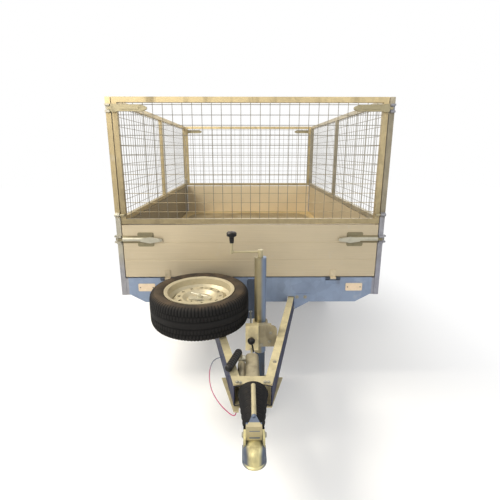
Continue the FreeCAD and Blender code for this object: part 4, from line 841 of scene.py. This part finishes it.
class TRAILER_OT_bed(bpy.types.Operator):
    """Finishes the boards, the floor and the steel of the bed"""
    bl_idname = "trailer.bed"
    bl_label = "Finish the bed"

    def execute(self, context):
        colours = context.scene.trailer_colours
        # Painted shade on the left board's inner face, away from the key lamp, and painted light on
        # the tailgate's inner face.
        for node, along, inner in (
                ("front_board", 0, None), ("tailgate", 0, (1, -1, 1.28)),
                ("side_board_left", 1, (0, 1, 0.4)), ("side_board_right", 1, (0, -1, 0.92))):
            dress(extrusion(node + "_alloy", colours.board, along, inner), node)
        dress(plywood("floor_film", colours.floor), "floor")
        dress(zinc("bed_zinc", colours.bed, dirt=0.15, metallic=0.35, spangle=22),
              "front_crossmember", "rear_crossmember", "side_rails", "floor_bearers")
        dress(zinc("under_zinc", colours.post, dirt=0.6), "axle_beam", "swing_arms")
        dress(black("guard_plastic", colours.plastic, 0.5, 300, 0.0004), "mudguards")
        return {"FINISHED"}


class TRAILER_OT_drawbar(bpy.types.Operator):
    """Finishes the drawbar, the coupling and the jockey stand"""
    bl_idname = "trailer.drawbar"
    bl_label = "Finish the drawbar"

    def execute(self, context):
        colours = context.scene.trailer_colours
        # Painted shade and sky reflection: the arms' upright faces take the dark blue-grey colour.
        dress(zinc("arm_zinc", colours.arm, colours.shade, dirt=0.25, metallic=0.15, specular=0.15),
              "drawbar_arms")
        dress(zinc("plate_zinc", tone(colours.arm, 0.95), dirt=0.2), "drawbar_plate")
        # Painted light and shade: the boss is brightened and the plate right of it takes the
        # housing's darker zinc.
        dress(zinc("bracket_zinc", tone(colours.arm, 1.45), colours.housing, dirt=0.35,
                   mask=beyond(0, 1, 0.034)), "jockey_bracket")
        dress(zinc("gusset_zinc", colours.bed, dirt=0.15, metallic=0.35, spangle=22),
              "drawbar_gussets")
        # Painted shade and blue reflection on the coupling head's flanks.
        dress(zinc("head_zinc", colours.head, tone(colours.bed, 0.36), dirt=0.6, metallic=0.6,
                   mask=flank), "coupling_head")
        # Painted shade on the handle's neck and in two slots drawn on its block.
        dress(zinc("handle_zinc", tone(colours.arm, 0.82), tone(colours.bed, 0.5), dirt=0.35,
                   metallic=0.5, mask=slots), "coupling_handle")
        dress(zinc("housing_zinc", colours.housing, dirt=0.5, metallic=0.4),
              "overrun_housing", "handbrake_spring")
        # Painted reflection: the outer tube turns blue-grey right of its axis, the sky seen on its
        # shaded side.
        right = beyond(0, 1, float(centre_of("jockey_outer_tube")[0]) + 0.006, 0.010)
        dress(zinc("tube_zinc", tone(colours.arm, 0.50), tone(colours.bed, 0.8), dirt=0.15,
                   metallic=0.9, spangle=20, mask=right), "jockey_outer_tube")
        # Painted shade: the inner tube is dark blue-grey because it stands in shadow.
        dress(zinc("leg_zinc", tone(colours.bed, 0.25), dirt=0.5, metallic=0.8),
              "jockey_inner_tube")
        dress(zinc("rod_zinc", colours.bright, dirt=0.2, metallic=0.8, spangle=20),
              "overrun_shaft", "brake_rod", "jockey_fork", "handbrake_lever")
        dress(zinc("crank_zinc", tone(colours.arm, 0.72), dirt=0.3, metallic=0.4, spangle=20),
              "jockey_crank")
        dress(black("boot_rubber", tone(colours.rubber, 0.5), 0.6, 500, 0.0003, 0.08),
              "overrun_gaiter")
        dress(black("knob_plastic", colours.plastic, 0.35, 400, 0.0002),
              "crank_knob", "jockey_clamp_lever")
        dress(roller("roller_rubber", tuple(centre_of("jockey_wheel"))), "jockey_wheel")
        path, radius = grip_line()
        plastic = black("grip_plastic", colours.plastic, 0.25, 400, 0.0001, 0.1)
        grip = tube("ridged_grip", "chassis", path, radius, plastic, 32)
        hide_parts("handbrake_grip")
        return {"FINISHED"}


class TRAILER_OT_wheels(bpy.types.Operator):
    """Finishes rims and drums, and builds the treads, wheel bolts and valves"""
    bl_idname = "trailer.wheels"
    bl_label = "Build the treads and wheel bolts"

    def execute(self, context):
        colours = context.scene.trailer_colours
        sizes = context.scene.trailer_sizes
        rubber = tyre_rubber("tyre_rubber")
        dress(wheel_steel("rim_silver", colours.rim), "rim_left", "rim_right", "spare_rim")
        dress(zinc("drum_cast", colours.post, dirt=0.7, metallic=0.3), "drum_left", "drum_right")
        # Painted shade: the carrier's upright part beside the jockey tube, behind the spare wheel,
        # is dark blue-grey.
        dress(zinc("carrier_zinc", colours.bright, tone(colours.bed, 0.35), dirt=0.3,
                   mask=beyond(0, 1, -0.06)), "spare_carrier")
        bolt = zinc("bolt_zinc", colours.bright, dirt=0.3, metallic=0.7, spangle=300)
        turn = math.radians(36)
        angle = np.radians(np.arange(5) * 72)[:, None]
        for side, axis in (("left", (-1.0, 0.0, 0.0)), ("right", (1.0, 0.0, 0.0)),
                           ("spare", (0.0, -math.sin(SPARE_LEAN), math.cos(SPARE_LEAN)))):
            node = "spare_tyre" if side == "spare" else f"tyre_{side}"
            body = "chassis" if side == "spare" else f"wheel_{side}"
            centre, way = np.array(centre_of(node)), np.array(axis)
            tread(f"tread_{side}", body, centre, axis, node, rubber)
            across, other = axes_for(way)
            out = across * math.cos(turn) + other * math.sin(turn)
            stem = centre + out * (sizes.rim_radius - 0.030)
            tube(f"valve_{side}", body, [stem + way * k for k in (0.030, 0.048, 0.0481, 0.062)],
                 (0.0055, 0.0045, 0.003, 0.003), rubber)
            if side == "spare":
                continue
            ring = (np.cos(angle) * across + np.sin(angle) * other) * 0.049
            heads(f"wheel_bolts_{side}", body, centre + ring + way * 0.028, way,
                  sizes.bolt_radius, 0.014, bolt, 1.25)
        return {"FINISHED"}


class TRAILER_OT_fasteners(bpy.types.Operator):
    """Builds the bolts and screws"""
    bl_idname = "trailer.fasteners"
    bl_label = "Build bolts and screws"

    def execute(self, context):
        sizes = context.scene.trailer_sizes
        colours = context.scene.trailer_colours
        bolt = zinc("fastener_zinc", tone(colours.bright, 0.62), dirt=0.35, metallic=0.6,
                    spangle=300)
        lean = math.tan(SPARE_LEAN)
        ahead, up, both = (0, -1, 0), (0, -lean, 1), (-1, 1)
        spots = [row_frame(way * x, -5, z) for way in both for x, z in GUSSET_BOLTS]
        heads("gusset_bolts", "chassis", spots, ahead, 0.0075, 0.007, bolt)
        # The tie plate's top is 500.2 mm up, 840 mm ahead of the front board.
        spots = [row_frame(x, y, 500.2 + (y + 840) * lean) for x, y in TIE_BOLTS]
        spots.append(row_frame(97.6, -678, 501))
        heads("tie_bolts", "chassis", spots, up, 0.0055, 0.006, bolt)
        spots = [row_frame(x, -456, z) for x, z in CARRIER_BOLTS]
        heads("carrier_bolts", "chassis", spots, ahead, 0.0060, 0.006, bolt)
        spots = [row_frame(way * 36, -1078, 470) for way in both]
        heads("neck_bolts", "chassis", spots, [(way, 0, 0) for way in both], 0.0085, 0.006, bolt)
        spots = [row_frame(way * 623 + x, -4.2, 597.5) for way in both for x in (-38, 38)]
        screw = zinc("screw_zinc", tone(colours.post, 0.16), dirt=0.35, spangle=300)
        heads("reflector_screws", "chassis", spots, ahead, sizes.screw_radius, 0.002, screw, 1.0)
        return {"FINISHED"}


class TRAILER_OT_lights(bpy.types.Operator):
    """Finishes the lamps, the blank plate and the reflectors"""
    bl_idname = "trailer.lights"
    bl_label = "Finish lamps and plate"

    def execute(self, context):
        colours = context.scene.trailer_colours
        lamp_half = 0.086
        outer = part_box("rear_lamps")[1].x
        dress(lens("lamp_lens", outer - lamp_half, lamp_half), "rear_lamps")
        dress(black("lamp_case", colours.plastic, 0.45, 400, 0.0002), "rear_lamp_cases")
        dress(painted("plate_paint", BLANK_PLATE), "number_plate")
        dress(painted("reflector_face", colours.pale, roughness=0.2, dirt=0.1), "front_reflectors")
        return {"FINISHED"}


class TRAILER_OT_cable(bpy.types.Operator):
    """Builds the breakaway cable along its route"""
    bl_idname = "trailer.cable"
    bl_label = "Build the breakaway cable"

    def execute(self, context):
        sizes = context.scene.trailer_sizes
        colours = context.scene.trailer_colours
        curve = bpy.data.curves.new("breakaway_line", "CURVE")
        curve.dimensions = "3D"
        curve.bevel_depth = sizes.cable_diameter / 2
        curve.bevel_resolution = 3
        curve.use_fill_caps = True
        line = curve.splines.new("NURBS")
        line.points.add(len(CABLE_ROUTE) - 1)
        places = np.array([(*row_frame(*spot), 1.0) for spot in CABLE_ROUTE], np.float32)
        line.points.foreach_set("co", places.ravel())
        line.order_u = 3
        line.use_endpoint_u = True
        line.resolution_u = 12
        made = bpy.data.objects.new("breakaway_line", curve)
        context.scene.collection.objects.link(made)
        slate = (tone(colours.bed, 0.55), 0.418)
        coat = painted("cable_coat", colours.cable, roughness=0.4, dirt=0.12, upper=slate)
        curve.materials.append(coat)
        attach(made, "chassis")
        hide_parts("breakaway_cable")
        return {"FINISHED"}


class TRAILER_OT_stage(bpy.types.Operator):
    """Builds the floor, the lamps and the camera"""
    bl_idname = "trailer.stage"
    bl_label = "Build the stage"

    def execute(self, context):
        scene = context.scene
        stage = scene.trailer_stage
        made = Finish("ground", 0.9, 0.1)
        spot = made.place((0.55, 0.34, 1))
        away = (made.part(spot, 0) ** 2 + made.part(spot, 1) ** 2) ** 0.5
        far = away.over(0.5, 1.1)
        seen = made.add("ShaderNodeLightPath", output="Is Camera Ray")
        fading = made.shaded(tuple(stage.ground), 1 - far * seen)
        made.feed(made.shader.inputs["Base Color"], fading)
        glow = seen * (stage.lift * (1 - far) + far)
        made.feed(made.shader.inputs["Emission Color"], made.shaded((1.0, 1.0, 1.0), glow))
        made.shader.inputs["Emission Strength"].default_value = 1
        half, below = 12, 0.0015
        reach = np.linspace(-half, half, 3)
        x, y = np.meshgrid(reach, reach, indexing="ij")
        points = np.stack([x, y, np.full_like(x, -below)], -1)
        floor = sheet("ground", points, round_u=False, round_v=False, material=made.material,
                      body="chassis", smooth=False)
        floor.parent = None
        del floor["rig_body"]
        world = bpy.data.worlds.new("studio")
        world.use_nodes = True
        scene.world = world
        nodes, links = world.node_tree.nodes, world.node_tree.links
        soft = nodes["Background"]
        soft.inputs["Color"].default_value = (0.96, 0.97, 1.0, 1)
        soft.inputs["Strength"].default_value = 0.50
        plain = nodes.new("ShaderNodeBackground")
        plain.inputs["Color"].default_value = (1, 1, 1, 1)
        plain.inputs["Strength"].default_value = 1.0
        path = nodes.new("ShaderNodeLightPath")
        blend = nodes.new("ShaderNodeMixShader")
        rays = path.outputs["Is Camera Ray"]
        for other in ("Is Glossy Ray", "Is Transmission Ray"):
            either = nodes.new("ShaderNodeMath")
            either.operation = "MAXIMUM"
            links.new(rays, either.inputs[0])
            links.new(path.outputs[other], either.inputs[1])
            rays = either.outputs[0]
        links.new(rays, blend.inputs[0])
        links.new(soft.outputs[0], blend.inputs[1])
        links.new(plain.outputs[0], blend.inputs[2])
        links.new(blend.outputs[0], nodes["World Output"].inputs["Surface"])
        for name, place, aim, wide, power, paint in LAMPS:
            light = bpy.data.lights.new(name, "AREA")
            light.size = wide
            light.energy = power
            light.color = paint
            lamp = bpy.data.objects.new(name, light)
            lamp.location = place
            lamp.rotation_euler = (Vector(aim) - Vector(place)).to_track_quat("-Z", "Y").to_euler()
            scene.collection.objects.link(lamp)
        data = bpy.data.cameras.new("camera")
        data.lens = stage.lens
        data.sensor_width = 36
        data.clip_end = 60
        camera = bpy.data.objects.new("camera", data)
        camera.location = (-stage.camera_left, -stage.camera_ahead, stage.camera_height)
        camera.rotation_euler = (stage.camera_tilt, 0, -stage.camera_turn)
        scene.collection.objects.link(camera)
        scene.camera = camera
        scene.view_settings.view_transform = "Standard"
        return {"FINISHED"}


class TRAILER_PT_panel(bpy.types.Panel):
    """Lists the steps and their settings"""
    bl_idname = "TRAILER_PT_panel"
    bl_label = "Utility trailer"
    bl_space_type = "VIEW_3D"
    bl_region_type = "UI"
    bl_category = "Trailer"

    def draw(self, context):
        for step in STEPS:
            self.layout.operator(step.bl_idname)
        for name, kind in GROUPS:
            box = self.layout.box()
            for entry in kind.__annotations__:
                box.prop(getattr(context.scene, name), entry)


STEPS = (TRAILER_OT_cage, TRAILER_OT_bed, TRAILER_OT_drawbar, TRAILER_OT_wheels,
         TRAILER_OT_fasteners, TRAILER_OT_lights, TRAILER_OT_cable, TRAILER_OT_stage)
GROUPS = (("trailer_colours", TrailerColours), ("trailer_sizes", TrailerSizes),
          ("trailer_stage", TrailerStage))


def register():
    """Registers the settings, the steps and the panel."""
    for name, group in GROUPS:
        bpy.utils.register_class(group)
        setattr(bpy.types.Scene, name, bpy.props.PointerProperty(type=group))
    for step in (*STEPS, TRAILER_PT_panel):
        bpy.utils.register_class(step)


def unregister():
    """Removes what register added."""
    for step in (TRAILER_PT_panel, *reversed(STEPS)):
        bpy.utils.unregister_class(step)
    for name, group in reversed(GROUPS):
        delattr(bpy.types.Scene, name)
        bpy.utils.unregister_class(group)


def main():
    """Registers the settings, steps and panel, then runs every step in order."""
    register()
    bpy.ops.trailer.cage()
    bpy.ops.trailer.bed()
    bpy.ops.trailer.drawbar()
    bpy.ops.trailer.wheels()
    bpy.ops.trailer.fasteners()
    bpy.ops.trailer.lights()
    bpy.ops.trailer.cable()
    bpy.ops.trailer.stage()


if __name__ == "__main__":
    main()
